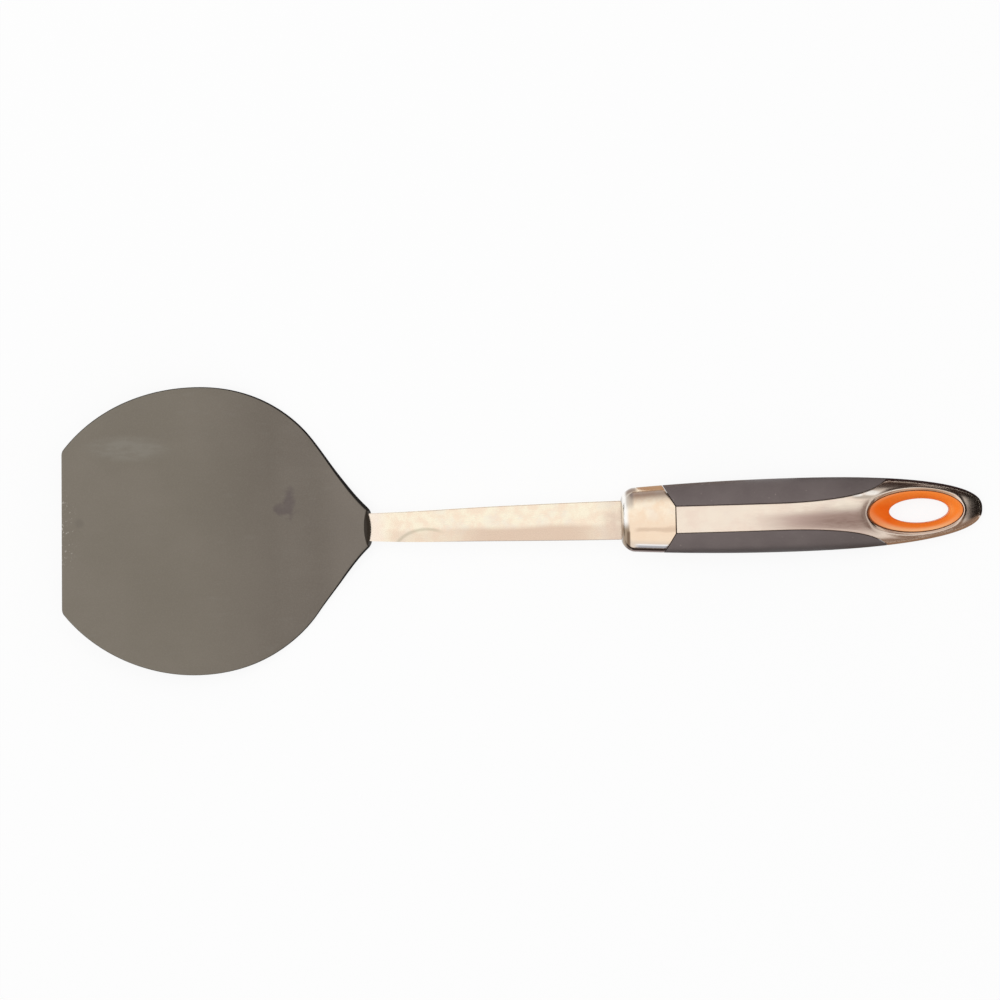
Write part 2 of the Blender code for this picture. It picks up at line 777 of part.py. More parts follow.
def make_grip(name, side, parent):
    shares = steps(0.0, 1.0, GRIP_LENGTH_FACETS)
    stations = [(share + smooth(share)) / 2 for share in shares]
    outer_levels = both_sides(sine_steps(GRIP_FACETS // 2))
    inner_levels = steps(-1.0, 1.0, GRIP_FACETS // 2)
    surface = Surface()
    rows = []
    for share in stations:
        outer = [grip_point(share, level, False, 0.0) for level in outer_levels]
        inner = [grip_point(share, level, True, 0.0) for level in inner_levels[::-1]]
        rows.append(surface.row([(x, side * y, z) for x, y, z in outer + inner]))
    surface.join_all(rows, closed=True)
    surface.cap(rows[0])
    surface.cap(rows[-1])
    new_object(name, surface, parent, grip_rubber())


# Strip and loop shells


def shell_half_width(along):
    return min(strip_half_width(along) - FIT_GAP / 2, half_width(along))


def on_oval(angle, share, growth=0.0):
    """A point of the ring's ovals: share 0 is the hole, 1 the visible outside, and growth widens it."""
    centre = mix(HOLE_CENTRE, RING_CENTRE, share)
    length = mix(HOLE_LENGTH, RING_LENGTH, share) / 2 + growth
    width = mix(HOLE_WIDTH, RING_WIDTH, share) / 2 + growth
    return centre + length * math.cos(angle), width * math.sin(angle)


def oval_angle(along, across):
    return math.atan2(across / RING_WIDTH, (along - RING_CENTRE) / RING_LENGTH)


def strip_columns(along):
    half = shell_half_width(along)
    return [(along, mix(-half, half, i / STRIP_FACETS)) for i in range(STRIP_FACETS + 1)]


def loop_outline():
    """The shell's outline from the strip round the tip and back, without the strip's own end."""
    reach = HANDLE_LENGTH - LOOP_START
    places = [LOOP_START + reach * share for share in sine_steps(LOOP_SIDE_FACETS)[1:]]
    left = [(along, shell_half_width(along)) for along in places]
    return left + [(along, -across) for along, across in left[-2::-1]]


def make_shell(name, side, parent):
    """One shell: side is 1 for the upper and -1 for the lower, and heights count from the parting plane."""
    surface = Surface()

    def row(places, height):
        return surface.row([(x, y, spine(x) + side * height(x, y)) for x, y in places])

    def thin(x, y):
        return outer_height(x, y) - SHELL_WALL

    def parting(_x, _y):
        return FIT_GAP / 2

    def outside(x, y):
        return max(outer_height(x, y), FIT_GAP / 2 + SHELL_EDGE_LAND)

    deep_at = CORE_END + 2 * FIT_GAP
    stations = steps(SEAM_AT_STRIP + FIT_GAP, CORE_END + FIT_GAP, STRIP_LENGTH_FACETS)
    stations += [deep_at, LOOP_START]
    top = [row(strip_columns(x), outside) for x in stations]
    under = [row(strip_columns(x), parting if x >= deep_at else thin) for x in stations]
    surface.join_all(top)
    surface.join_all(under)
    surface.join(top[0], under[0])
    for edge in (0, -1):
        surface.join([r[edge] for r in top], [r[edge] for r in under])

    rim = strip_columns(LOOP_START) + loop_outline()
    angles = [oval_angle(*place) for place in rim]
    front_count = STRIP_FACETS + 1

    def between(growth, share):
        ovals = [on_oval(angle, 1.0, growth) for angle in angles]
        return [(mix(a[0], b[0], share), mix(a[1], b[1], share)) for a, b in zip(ovals, rim)]

    def loop_rows(growth, height, strip_end):
        rows = []
        for share in sine_steps(LOOP_ROWS)[:-1]:
            rows.append(row(between(growth, share), height))
        rows.append(strip_end + row(rim[front_count:], height))
        surface.join_all(rows, closed=True)
        return rows[0], rows[-1]

    lip_growth = FIT_GAP
    groove_growth = FLANGE_REACH + 2 * FIT_GAP
    groove = FLANGE_THICKNESS / 2 + FIT_GAP
    top_oval, top_rim = loop_rows(lip_growth, outside, top[-1])
    under_oval, under_rim = loop_rows(groove_growth, parting, under[-1])
    lip = row(between(lip_growth, 0.0), lambda _x, _y: groove)
    groove_side = row(between(groove_growth, 0.0), lambda _x, _y: groove)
    surface.join_all([top_oval, lip, groove_side, under_oval], closed=True)
    outline = slice(front_count - 1, None)
    surface.join(top_rim[outline] + top_rim[:1], under_rim[outline] + under_rim[:1])

    shell = new_object(name, surface, parent, shell_steel())
    for number, along in enumerate(STUD_FROM_COLLAR):
        root = half_height(along) - SHELL_WALL / 2
        end = core_top(along) - STUD_LENGTH + FIT_GAP
        low, high = sorted((side * root, side * end))
        stud = handle_bar(STUD_DIAMETER / 2, along, low, high)
        boolean(shell, new_object(f"{name}_stud_{number}_cutter", stud, parent), "UNION")


# Ring


def make_ring(parent):
    """Funnel faces above and below a waist, and a flange that the two shells hold."""
    angles = round_angles()

    def ring_row(share, growth, height, side):
        places = [on_oval(angle, share, growth) for angle in angles]
        return [(x, y, spine(x) + side * height(x, y)) for x, y in places]

    def funnel(share):
        def height(x, y):
            return mix(RING_WAIST_HEIGHT / 2, outer_height(x, y) - RING_RECESS, share)

        return height

    def flange(_x, _y):
        return FLANGE_THICKNESS / 2

    def half_section(side):
        faces = [ring_row(share, 0.0, funnel(share), side) for share in RING_FACE_SHARES]
        return faces + [ring_row(1.0, 0.0, flange, side), ring_row(1.0, FLANGE_REACH, flange, side)]

    rings = half_section(1) + half_section(-1)[::-1]
    surface = Surface()
    rows = [surface.row(ring) for ring in rings]
    surface.join_all(rows, closed=True)
    surface.join(rows[-1], rows[0], closed=True)
    new_object("hole_ring", surface, parent, ring_plastic())


# Resting pose


def lower_hull(points):
    """The underside of the convex outline of side-view points, from front to back."""
    hull = []
    for point in sorted(points):
        while len(hull) > 1:
            (ax, az), (bx, bz) = hull[-2:]
            if (bx - ax) * (point[1] - az) > (bz - az) * (point[0] - ax):
                break
            hull.pop()
        hull.append(point)
    return hull


def lay_down(root):
    """Turns and lifts the whole spatula so that its heel and the end of its handle touch z = 0."""
    bpy.context.view_layer.update()
    points = []
    for piece in bpy.data.objects:
        if piece.type == "MESH" and not piece.hide_render:
            points += [tuple((piece.matrix_world @ v.co).xz) for v in piece.data.vertices]
    hull = lower_hull(points)
    middle = path((BLADE_LENGTH + COLLAR_FRONT) / 2)[0]
    for (ax, az), (bx, bz) in zip(hull, hull[1:]):
        if ax <= middle <= bx:
            pitch = math.atan2(bz - az, bx - ax)
    xs = [x * math.cos(pitch) + z * math.sin(pitch) for x, z in points]
    zs = [z * math.cos(pitch) - x * math.sin(pitch) for x, z in points]
    root.rotation_euler = (0.0, pitch, 0.0)
    root.location = (-(min(xs) + max(xs)) / 2, 0.0, -min(zs))


def main():
    clear_scene()
    root = empty("spatula")
    handle = empty("handle", root)
    handle.matrix_local = path_matrix(COLLAR_FRONT)
    make_blade(root)
    make_shank(root)
    make_collar(handle)
    make_core(handle)
    make_pin("front_tang_pin", PIN_FROM_COLLAR[0], handle)
    make_pin("rear_tang_pin", PIN_FROM_COLLAR[1], handle)
    make_shell("upper_shell", 1, handle)
    make_shell("lower_shell", -1, handle)
    make_grip("left_grip", 1, handle)
    make_grip("right_grip", -1, handle)
    make_ring(handle)
    lay_down(root)


main()
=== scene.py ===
"""The looks of the turner spatula: each visible piece rebuilt finely over its solid, with its own material.

Everything is in metres. The formulas of the outlines are those of the part's source, so a piece lies where
its solid is, but for the ends of the blade, which lie up to 2 mm askew as on the real one. "along" runs from
the blade's front edge to the collar, and again from the collar's front to the end of the handle. "place" on
a mesh holds along, across and the distance from the piece's own edge, or on the ring how far out it lies.
"""

import math

import bmesh
import bpy
import numpy as np
from mathutils import Matrix, Vector


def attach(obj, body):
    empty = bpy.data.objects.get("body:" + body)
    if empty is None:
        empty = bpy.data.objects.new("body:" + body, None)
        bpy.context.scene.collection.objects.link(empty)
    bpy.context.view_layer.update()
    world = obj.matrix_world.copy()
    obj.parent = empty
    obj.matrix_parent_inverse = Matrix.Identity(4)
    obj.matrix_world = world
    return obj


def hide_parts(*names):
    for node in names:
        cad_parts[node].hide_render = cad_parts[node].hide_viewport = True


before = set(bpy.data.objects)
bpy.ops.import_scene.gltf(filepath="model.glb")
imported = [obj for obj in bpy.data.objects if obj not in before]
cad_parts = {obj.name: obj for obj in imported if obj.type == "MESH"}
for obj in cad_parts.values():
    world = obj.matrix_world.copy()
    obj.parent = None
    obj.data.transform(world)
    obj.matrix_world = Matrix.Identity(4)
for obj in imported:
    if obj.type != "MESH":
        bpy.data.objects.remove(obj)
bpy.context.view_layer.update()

# Where the solids rest
PITCH = math.radians(16.469703)
ROOT_X = -0.1765043
ROOT_Z = 0.026616

# Gaps between two pieces
HAIRLINE = 0.00012
SEAM_GAP = 0.00024

# Blade
BLADE_WIDTH = 0.1115
BLADE_LENGTH = 0.1199
FRONT_TO_WIDEST = 0.0523
FRONT_OVAL_REACH = FRONT_TO_WIDEST * 1.197
REAR_OVAL_REACH = (BLADE_LENGTH - FRONT_TO_WIDEST) * 0.8328
REAR_OVAL_SHARE = 2.1
FRONT_CORNER_RADIUS = 0.004
NECK_FLARE_LENGTH = 0.0215
NECK_WIDTH = 0.0158
NECK_CORNER_RADIUS = 0.001
NECK_SLOPE_SHARE = -0.85
FRONT_EDGE_THICKNESS = 0.0009
FRONT_TAPER_LENGTH = 0.018
BLADE_THICKNESS = 0.0017
BLADE_RIM_THICKNESS = 0.0011
RIM_FLAT_SHARE = 0.86
NECK_SWELL_LENGTH = 0.038
NECK_THICKNESS = 0.0066
NECK_RIM_THICKNESS = 0.0024
RIM_FALL_SHARE = 2.3
RIM_ROUND_SHARE = 0.55
FRONT_ROUND_LENGTH = 0.0012

# Side view
HEEL_TO_NECK = 0.0084
HEEL_BEND_LENGTH = 0.03
HEEL_ANGLE = math.radians(38)
NECK_STRAIGHT = 0.0167
SHANK_BEND_LENGTH = 0.02
SHANK_BEND_ANGLE = math.radians(22)
SHANK_STRAIGHT = 0.0706
HEEL_END = BLADE_LENGTH - HEEL_TO_NECK
HEEL_START = HEEL_END - HEEL_BEND_LENGTH
SHANK_BEND_START = HEEL_END + NECK_STRAIGHT
SHANK_BEND_END = SHANK_BEND_START + SHANK_BEND_LENGTH
COLLAR_FRONT = SHANK_BEND_END + SHANK_STRAIGHT

# Shank
SHANK_THICKNESS = 0.0022
SHANK_NECK_WIDTH = 0.0107
SHANK_HANDLE_WIDTH = 0.0149
SHANK_WIDENING_SHARE = 1.4
SHANK_ROUND = 0.0003
BLADE_TANG_WIDTH = 0.009
TANG_SHOWN = 0.004
FINE_STEP = 0.0005

# The neck's rounded end, and its dome over the shank
NECK_END_ROUND = 0.0006
NECK_END_SHARE = 0.3
NECK_DOME = 0.0017
NECK_DOME_POWER = 1.7
NECK_DOME_FALL = 0.78
NECK_DOME_TRIM = 0.0006
DOME_PLACE = 0.001

# How the real blade and shank lie askew
FRONT_SKEW = 0.0348
FRONT_BEHIND = -0.00023
FRONT_ASIDE = 0.002
NECK_ASIDE = -0.0006
NECK_ASIDE_START = 0.099
NECK_ASIDE_REACH = 0.009
SHANK_ASIDE = -0.0004
SHANK_ASIDE_REACH = 0.055

# Handle
HANDLE_LENGTH = 0.1399
HANDLE_WIDTH = 0.0283
WIDEST_AT = 0.0642
FRONT_NARROWING = 0.0022
END_FULLNESS = 2.32
END_SQUARENESS = 2.54
COLLAR_HEIGHT = 0.0152
BELLY_HEIGHT = 0.0184
BELLY_AT = 0.055
LOOP_HEIGHT = 0.0104
LOOP_AT = HANDLE_LENGTH - 0.0259
END_HEIGHT = 0.0078
TIP_ROUND_LENGTH = 0.011
HANDLE_DROP = 0.01
SECTION_SHARE = 2.6
COLLAR_WALL = 0.001
COLLAR_FRONT_WALL = 0.0015
COLLAR_ROUND_LENGTH = 0.0046
COLLAR_ROUND_SIDE = 0.00405
COLLAR_ROUND_TOP = 0.0036
COLLAR_ROUND_SHARE = 1.6
SEAM_AT_STRIP = 0.0207
SEAM_AT_SIDE = 0.016
STRIP_WIDTH = 0.0104
STRIP_FLARE_END = HANDLE_LENGTH - 0.0373
STRIP_FLARE_START = STRIP_FLARE_END - 0.0446
STRIP_FLARE_SHARES = ((0.6, 2.4), (0.4, 9.0))
SHELL_WALL = 0.0016
SHELL_EDGE_LAND = 0.0003
GRIP_WALL = 0.0028
GRIP_TIP_HEIGHT = 0.0012
LEAST_HALF_WIDTH = 0.0003

# Ring
RING_CENTRE = HANDLE_LENGTH - 0.02665
RING_LENGTH = 0.0375
RING_WIDTH = 0.016
HOLE_CENTRE = HANDLE_LENGTH - 0.0249
HOLE_LENGTH = 0.0234
HOLE_WIDTH = 0.0094
RING_WAIST_HEIGHT = 0.0036
RING_RECESS = 0.0003
RING_SWELL = 0.0004
FLANGE_THICKNESS = 0.0016
FLANGE_REACH = 0.001
GROOVE_REACH = 0.0016
GROOVE_CLEARANCE = 0.0003
STEEL_BEFORE_RING = 0.0032
LOOP_START = RING_CENTRE - RING_LENGTH / 2 - STEEL_BEFORE_RING
DEEP_BEFORE_LOOP = 0.0015
SHARP_STEP = 0.0001

# Edges and small forms that the solids leave out
STRIP_EDGE_ROUND = 0.0003
GRIP_EDGE_ROUND = 0.00035
SEAM_EDGE_ROUND = 0.0002
LIP_HEIGHT = 0.00019
LIP_BESIDE = 0.0013
LIP_AT_END = 0.0005
LIP_HALF_WIDTH = 0.00025
LIP_SPREAD = 5.0
DIP_DEPTH = 0.0004
DIP_REACH = 0.003
DIP_FROM = 0.011
DIP_FADE = 0.006
RING_EDGE_ROUND = 0.0004

# Studio
FLOOR_LEVEL = -0.0001
FLOOR_REACH = 3.0
FLOOR_WHITE_SHARE = 0.88
CARD_LEVEL = -0.00005
LAMP_AT = (-0.2, 0.2, 1.6)
LAMP_SIZE = 1.3
WORLD_LEVEL = 0.45
LAMP_LEVEL = 0.55

# Turn from +X towards +Y, angle from straight up, half angle and softness in degrees, and colour, of each
# wall round the studio that polished metal reflects
WALLS = (
    (90.0, 80.0, 64.0, 46.0, (0.38, 0.33, 0.33)),
    (90.0, 106.0, 46.0, 14.0, (0.24, 0.17, 0.13)),
    (104.0, 82.0, 26.0, 12.0, (0.40, 0.36, 0.38)),
    (55.0, 70.0, 36.0, 16.0, (0.035, 0.022, 0.02)),
    (75.0, 92.0, 16.0, 8.0, (0.30, 0.24, 0.22)),
    (0.0, 95.0, 54.0, 12.0, (0.010, 0.008, 0.007)),
    (-16.0, 36.0, 15.0, 8.0, (0.32, 0.24, 0.22)),
    (-52.0, 90.0, 38.0, 8.0, (0.28, 0.20, 0.155)),
    (-90.0, 98.0, 15.0, 6.0, (0.13, 0.10, 0.10)),
)

# Name, outline and colour of each card on the floor that polished metal reflects
CARDS = (
    ("card_loop_far", ((0.105, 0.006), (0.178, 0.0), (0.178, 0.2), (0.105, 0.2)), (0.03, 0.018, 0.02)),
    ("card_tip", ((0.178, -0.004), (0.5, -0.12), (0.5, 0.2), (0.178, 0.2)), (0.015, 0.011, 0.01)),
    (
        "card_loop_near",
        ((0.125, -0.2), (0.5, -0.2), (0.5, -0.122), (0.178, -0.006), (0.125, -0.006)),
        (0.33, 0.22, 0.15),
    ),
    ("card_collar_far", ((0.043, 0.006), (0.085, 0.006), (0.085, 0.2), (0.043, 0.2)), (0.47, 0.33, 0.24)),
    ("card_collar_beyond", ((0.02, 0.2), (0.1, 0.2), (0.1, 3.0), (-1.0, 3.0)), (0.28, 0.20, 0.14)),
    ("card_collar_dark", ((-0.03, -0.5), (0.1, -0.5), (0.1, -0.043), (-0.03, -0.043)), (0.12, 0.09, 0.09)),
    (
        "card_collar_grey",
        ((0.03, -0.043), (0.065, -0.043), (0.065, -0.016), (0.03, -0.016)),
        (0.40, 0.38, 0.42),
    ),
)

# Camera that took the photograph
CAMERA_AT = (0.01907, 0.07082, 1.1)
CAMERA_TILT_X = 0.05701
CAMERA_TILT_Y = -0.02608
CAMERA_ROLL = 0.02818
FOCAL_SHARE = 2.83164
SENSOR_MM = 36.0
HALF_PIXEL_SHARE = 0.0005


def clamp(value):
    return min(max(value, 0.0), 1.0)


def smooth(share):
    share = clamp(share)
    return share * share * (3.0 - 2.0 * share)


def mix(first, second, share):
    return first + (second - first) * share


def steps(start, end, count):
    return [float(v) for v in np.linspace(start, end, count + 1)]


def sine_steps(count):
    """0 to 1, closing up towards 1."""
    return [math.sin(math.pi / 2 * i / count) for i in range(count + 1)]


def opening_steps(count):
    """0 to 1, close together at 0."""
    return [1.0 - share for share in sine_steps(count)[::-1]]


def both_sides(shares):
    return [-share for share in shares[:0:-1]] + list(shares)


def edge_drop(distance, radius):
    """How far a rounded edge falls below its surface this far from the edge."""
    share = 1.0 - clamp(distance / radius)
    return radius * (1.0 - math.sqrt(1.0 - share**2))


class Surface:
    """Points, their places and the faces of one closed shape, built row by row."""

    def __init__(self):
        self.points = []
        self.places = []
        self.faces = []

    def row(self, points, places):
        start = len(self.points)
        self.points.extend(points)
        self.places.extend(places)
        return list(range(start, len(self.points)))

    def join(self, first, second, closed=False):
        count = len(first) if closed else len(first) - 1
        for i in range(count):
            j = (i + 1) % len(first)
            self.faces.append((first[i], first[j], second[j], second[i]))

    def join_all(self, rows, closed=False):
        for first, second in zip(rows, rows[1:]):
            self.join(first, second, closed)

    def close(self, rows, hollow=False):
        """Joins closed rows, and caps the two ends or, on a hollow shape, joins them to each other."""
        self.join_all(rows, closed=True)
        if hollow:
            self.join(rows[-1], rows[0], closed=True)
        else:
            self.faces += [tuple(rows[0]), tuple(rows[-1])]


def to_world(point):
    x, y, z = point
    return (
        x * math.cos(PITCH) + z * math.sin(PITCH) + ROOT_X,
        y,
        z * math.cos(PITCH) - x * math.sin(PITCH) + ROOT_Z,
    )


def show(name, surface, material, replaced, sharp=40):
    """Makes the piece, lets it ride and stand for its solid."""
    mesh = bpy.data.meshes.new(name)
    mesh.from_pydata(surface.points, [], surface.faces)
    work = bmesh.new()
    work.from_mesh(mesh)
    bmesh.ops.recalc_face_normals(work, faces=work.faces)
    work.to_mesh(mesh)
    work.free()
    mesh.shade_smooth()
    mesh.set_sharp_from_angle(angle=math.radians(sharp))
    place = mesh.attributes.new("place", "FLOAT_VECTOR", "POINT")
    place.data.foreach_set("vector", np.array(surface.places, np.float32).ravel())
    mesh.materials.append(material)
    piece = bpy.data.objects.new(name, mesh)
    bpy.context.scene.collection.objects.link(piece)
    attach(piece, "root")
    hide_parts(replaced)


# Blade and shank


def path(distance):
    x = z = slope = 0.0
    stretches = (
        (HEEL_START, 0.0),
        (HEEL_BEND_LENGTH, HEEL_ANGLE),
        (NECK_STRAIGHT, 0.0),
        (SHANK_BEND_LENGTH, -SHANK_BEND_ANGLE),
        (math.inf, 0.0),
    )
    for length, turn in stretches:
        step = min(distance, length)
        if turn:
            radius = length / turn
            end = slope + step / radius
            x += radius * (math.sin(end) - math.sin(slope))
            z += radius * (math.cos(slope) - math.cos(end))
            slope = end
        else:
            x += step * math.cos(slope)
            z += step * math.sin(slope)
        distance -= step
        if distance <= 0.0:
            break
    return x, z, slope


def off_path(distance, across, above):
    x, z, slope = path(distance)
    return to_world((x - above * math.sin(slope), across, z + above * math.cos(slope)))


def oval_half_width(distance):
    if distance < FRONT_TO_WIDEST:
        share = (FRONT_TO_WIDEST - distance) / FRONT_OVAL_REACH
        return BLADE_WIDTH / 2 * math.sqrt(max(1.0 - share**2, 0.0))
    share = (distance - FRONT_TO_WIDEST) / REAR_OVAL_REACH
    return BLADE_WIDTH / 2 * max(1.0 - share**REAR_OVAL_SHARE, 0.0) ** (1.0 / REAR_OVAL_SHARE)


def front_corner():
    reach_share = FRONT_TO_WIDEST / FRONT_OVAL_REACH
    side_slope = BLADE_WIDTH / 2 / FRONT_OVAL_REACH * reach_share / math.sqrt(1.0 - reach_share**2)
    sweep = math.atan(1.0 / side_slope)
    start = oval_half_width(0.0) - FRONT_CORNER_RADIUS * math.tan(sweep / 2)
    return start, FRONT_CORNER_RADIUS * (1.0 - math.cos(sweep))


def flare_half_width(distance):
    start = BLADE_LENGTH - NECK_FLARE_LENGTH
    share = (distance - start) / NECK_FLARE_LENGTH
    start_half = oval_half_width(start)
    start_slope = (start_half - oval_half_width(start - NECK_CORNER_RADIUS)) / NECK_CORNER_RADIUS
    return (
        start_half * (1.0 - smooth(share))
        + NECK_WIDTH / 2 * smooth(share)
        + start_slope * NECK_FLARE_LENGTH * share * (1.0 - share) ** 2
        - NECK_SLOPE_SHARE * NECK_FLARE_LENGTH * share**2 * (1.0 - share)
    )


def blade_half_width(distance):
    if distance > BLADE_LENGTH - NECK_FLARE_LENGTH:
        half = flare_half_width(distance)
    else:
        half = oval_half_width(distance)
    corner_start, corner_end = front_corner()
    if distance < corner_end:
        arc = FRONT_CORNER_RADIUS**2 - (FRONT_CORNER_RADIUS - distance) ** 2
        half = min(half, corner_start + math.sqrt(arc))
    return half


def blade_thickness(distance, across_share):
    swell = smooth((distance - BLADE_LENGTH + NECK_SWELL_LENGTH) / NECK_SWELL_LENGTH)
    front = smooth(distance / FRONT_TAPER_LENGTH)
    middle = mix(mix(FRONT_EDGE_THICKNESS, BLADE_THICKNESS, front), NECK_THICKNESS, swell)
    rim = mix(min(BLADE_RIM_THICKNESS, middle), NECK_RIM_THICKNESS, swell)
    flat_share = mix(RIM_FLAT_SHARE, 0.0, swell)
    outward = max(abs(across_share) - flat_share, 0.0) / (1.0 - flat_share)
    return mix(middle, rim, outward**RIM_FALL_SHARE)


def rim_radius(distance):
    return RIM_ROUND_SHARE * blade_thickness(distance, 1.0)


def blade_columns(half, radius):
    """Places across the blade, from the middle out: even on the flat and close round the rim."""
    inner = half - radius
    flat = [inner * share for share in steps(0.0, 1.0, 34)]
    rim = [inner + radius * share for share in sine_steps(7)[1:]]
    return both_sides(flat + rim)


def askew(distance, across):
    """Place of a point on the real blade, whose front and neck lie a little askew."""
    share = max(1.0 - distance / FRONT_TO_WIDEST, 0.0) ** 2
    behind = (FRONT_SKEW * across + FRONT_BEHIND) * share
    aside = FRONT_ASIDE * share + NECK_ASIDE * smooth((distance - NECK_ASIDE_START) / NECK_ASIDE_REACH)
    return distance + behind, across + aside


def blade_row(surface, half, radius, spot):
    """A row round the blade. For a place across and the rim's share of the height there, spot gives the
    distance from the front edge, the height above the middle and the distance that the finish goes by."""
    top, under, places = [], [], []
    for across in blade_columns(half, radius):
        cap = (radius - edge_drop(half - abs(across), radius)) / radius
        distance, above, along = spot(across, cap)
        top.append(off_path(*askew(distance, across), above))
        under.append(off_path(*askew(distance, across), -above))
        places.append((along, across, half - abs(across)))
    return surface.row(top + under[-2:0:-1], places + places[-2:0:-1])


def flat_row(surface, distance):
    half = blade_half_width(distance)
    front_round = edge_drop(distance, FRONT_EDGE_THICKNESS / 2)
    end_round = NECK_END_SHARE * edge_drop(BLADE_LENGTH - distance, NECK_END_ROUND)

    def spot(across, cap):
        height = blade_thickness(distance, across / half) / 2 * cap
        return distance, max(height - front_round - end_round, 0.0), distance

    return blade_row(surface, half, rim_radius(distance), spot)


def dome_row(surface, share):
    """A row of the blade's end, which bulges over the shank as it comes down to it."""
    reach = math.sin(math.pi / 2 * share)
    half = NECK_WIDTH / 2 - NECK_DOME_TRIM * reach

    def spot(across, cap):
        level = min(abs(across) / half, 1.0)
        distance = BLADE_LENGTH + NECK_DOME * (1.0 - NECK_DOME_FALL * level**NECK_DOME_POWER) * reach
        thickness = blade_thickness(BLADE_LENGTH, level)
        above = mix(thickness / 2, SHANK_THICKNESS / 2 + HAIRLINE, share**1.5) * cap
        return distance, above, BLADE_LENGTH + DOME_PLACE * share

    return blade_row(surface, half, rim_radius(BLADE_LENGTH), spot)


def make_blade():
    front = [FRONT_ROUND_LENGTH * share for share in opening_steps(8)]
    stations = front + steps(FRONT_ROUND_LENGTH, HEEL_START, 70)[1:] + steps(HEEL_START, HEEL_END, 40)[1:]
    stations += steps(HEEL_END, BLADE_LENGTH - NECK_CORNER_RADIUS, 12)[1:]
    stations += [mix(BLADE_LENGTH - NECK_CORNER_RADIUS, BLADE_LENGTH, s) for s in sine_steps(6)[1:]]
    surface = Surface()
    rows = [flat_row(surface, distance) for distance in stations]
    rows += [dome_row(surface, share) for share in (0.2, 0.45, 0.7, 0.88, 1.0)]
    surface.close(rows)
    show("blade_moulding", surface, blade_nylon(), "blade")


def shank_half(distance):
    share = clamp((distance - BLADE_LENGTH) / (COLLAR_FRONT - BLADE_LENGTH))
    return mix(SHANK_HANDLE_WIDTH, SHANK_NECK_WIDTH, (1.0 - share) ** SHANK_WIDENING_SHARE) / 2


def bar_loop(half):
    """The shank's section, a flat bar with round edges."""
    above, radius = SHANK_THICKNESS / 2, SHANK_ROUND
    corner = []
    for turn in steps(0.0, math.pi / 2, 5):
        corner.append((half - radius + radius * math.sin(turn), above - radius + radius * math.cos(turn)))
    flat = [((half - radius) * share, above) for share in steps(0.0, 1.0, 8)[:-1]]
    right = flat[1:] + corner
    right_under = [(across, -up) for across, up in right[::-1]]
    left_under = [(-across, up) for across, up in right_under[::-1]]
    left = [(across, -up) for across, up in left_under[::-1]]
    return [(0.0, above)] + right + right_under + [(0.0, -above)] + left_under + left


def make_shank():
    shoulder = BLADE_LENGTH + HAIRLINE
    tang = steps(BLADE_LENGTH - TANG_SHOWN, BLADE_LENGTH, 3) + [shoulder]
    bar = [shoulder, BLADE_LENGTH + FINE_STEP] + steps(BLADE_LENGTH + 3 * FINE_STEP, SHANK_BEND_START, 6)
    bar += steps(SHANK_BEND_START, SHANK_BEND_END, 30)[1:]
    bar += steps(SHANK_BEND_END, COLLAR_FRONT + COLLAR_FRONT_WALL, 50)[1:]
    surface = Surface()
    rows = []
    for distance, half in [(d, BLADE_TANG_WIDTH / 2) for d in tang] + [(d, shank_half(d)) for d in bar]:
        loop = bar_loop(half)
        aside = SHANK_ASIDE * (1.0 - smooth((distance - BLADE_LENGTH) / SHANK_ASIDE_REACH))
        points = [off_path(distance, across + aside, up) for across, up in loop]
        rows.append(surface.row(points, [(distance, across, half - abs(across)) for across, _ in loop]))
    surface.close(rows)
    show("shank_bar", surface, shank_steel(), "shank")


# Handle


COLLAR_X, COLLAR_Z, COLLAR_SLOPE = path(COLLAR_FRONT)


def on_handle(along, across, up):
    """World point from places on the handle, up counting from the collar's front middle."""
    return to_world(
        (
            COLLAR_X + along * math.cos(COLLAR_SLOPE) - up * math.sin(COLLAR_SLOPE),
            across,
            COLLAR_Z + along * math.sin(COLLAR_SLOPE) + up * math.cos(COLLAR_SLOPE),
        )
    )


def spine(along):
    return -HANDLE_DROP * (along / HANDLE_LENGTH) ** 2


def half_width(along):
    if along < WIDEST_AT:
        return HANDLE_WIDTH / 2 - FRONT_NARROWING * (1.0 - along / WIDEST_AT) ** 2
    share = min((along - WIDEST_AT) / (HANDLE_LENGTH - WIDEST_AT), 1.0)
    return HANDLE_WIDTH / 2 * (1.0 - share**END_FULLNESS) ** (1.0 / END_SQUARENESS)


def half_height(along):
    to_belly = smooth(along / BELLY_AT)
    to_loop = smooth((along - BELLY_AT) / (LOOP_AT - BELLY_AT))
    to_end = smooth((along - LOOP_AT) / (HANDLE_LENGTH - LOOP_AT))
    height = mix(mix(mix(COLLAR_HEIGHT, BELLY_HEIGHT, to_belly), LOOP_HEIGHT, to_loop), END_HEIGHT, to_end)
    past = max(1.0 - (HANDLE_LENGTH - along) / TIP_ROUND_LENGTH, 0.0)
    return height / 2 * math.sqrt(max(1.0 - past**2, 0.0))


def outer_height(along, across):
    half = max(half_width(along), LEAST_HALF_WIDTH)
    share = min(abs(across) / half, 1.0)
    return half_height(along) * (1.0 - share**SECTION_SHARE) ** (1.0 / SECTION_SHARE)


def collar_round(along, front):
    share = clamp((along - front) / (COLLAR_ROUND_LENGTH - front))
    return 1.0 - (1.0 - (1.0 - share) ** COLLAR_ROUND_SHARE) ** (1.0 / COLLAR_ROUND_SHARE)


def section_halves(along, side_inset, top_inset, front):
    rounding = collar_round(along, front)
    half = half_width(along) - side_inset - (COLLAR_ROUND_SIDE - side_inset) * rounding
    above = half_height(along) - top_inset - (COLLAR_ROUND_TOP - top_inset) * rounding
    return half, above


def rounded(share):
    return math.copysign(abs(share) ** (2.0 / SECTION_SHARE), share)


def on_section(angle, halves):
    half, above = halves
    return half * rounded(math.cos(angle)), above * rounded(math.sin(angle))


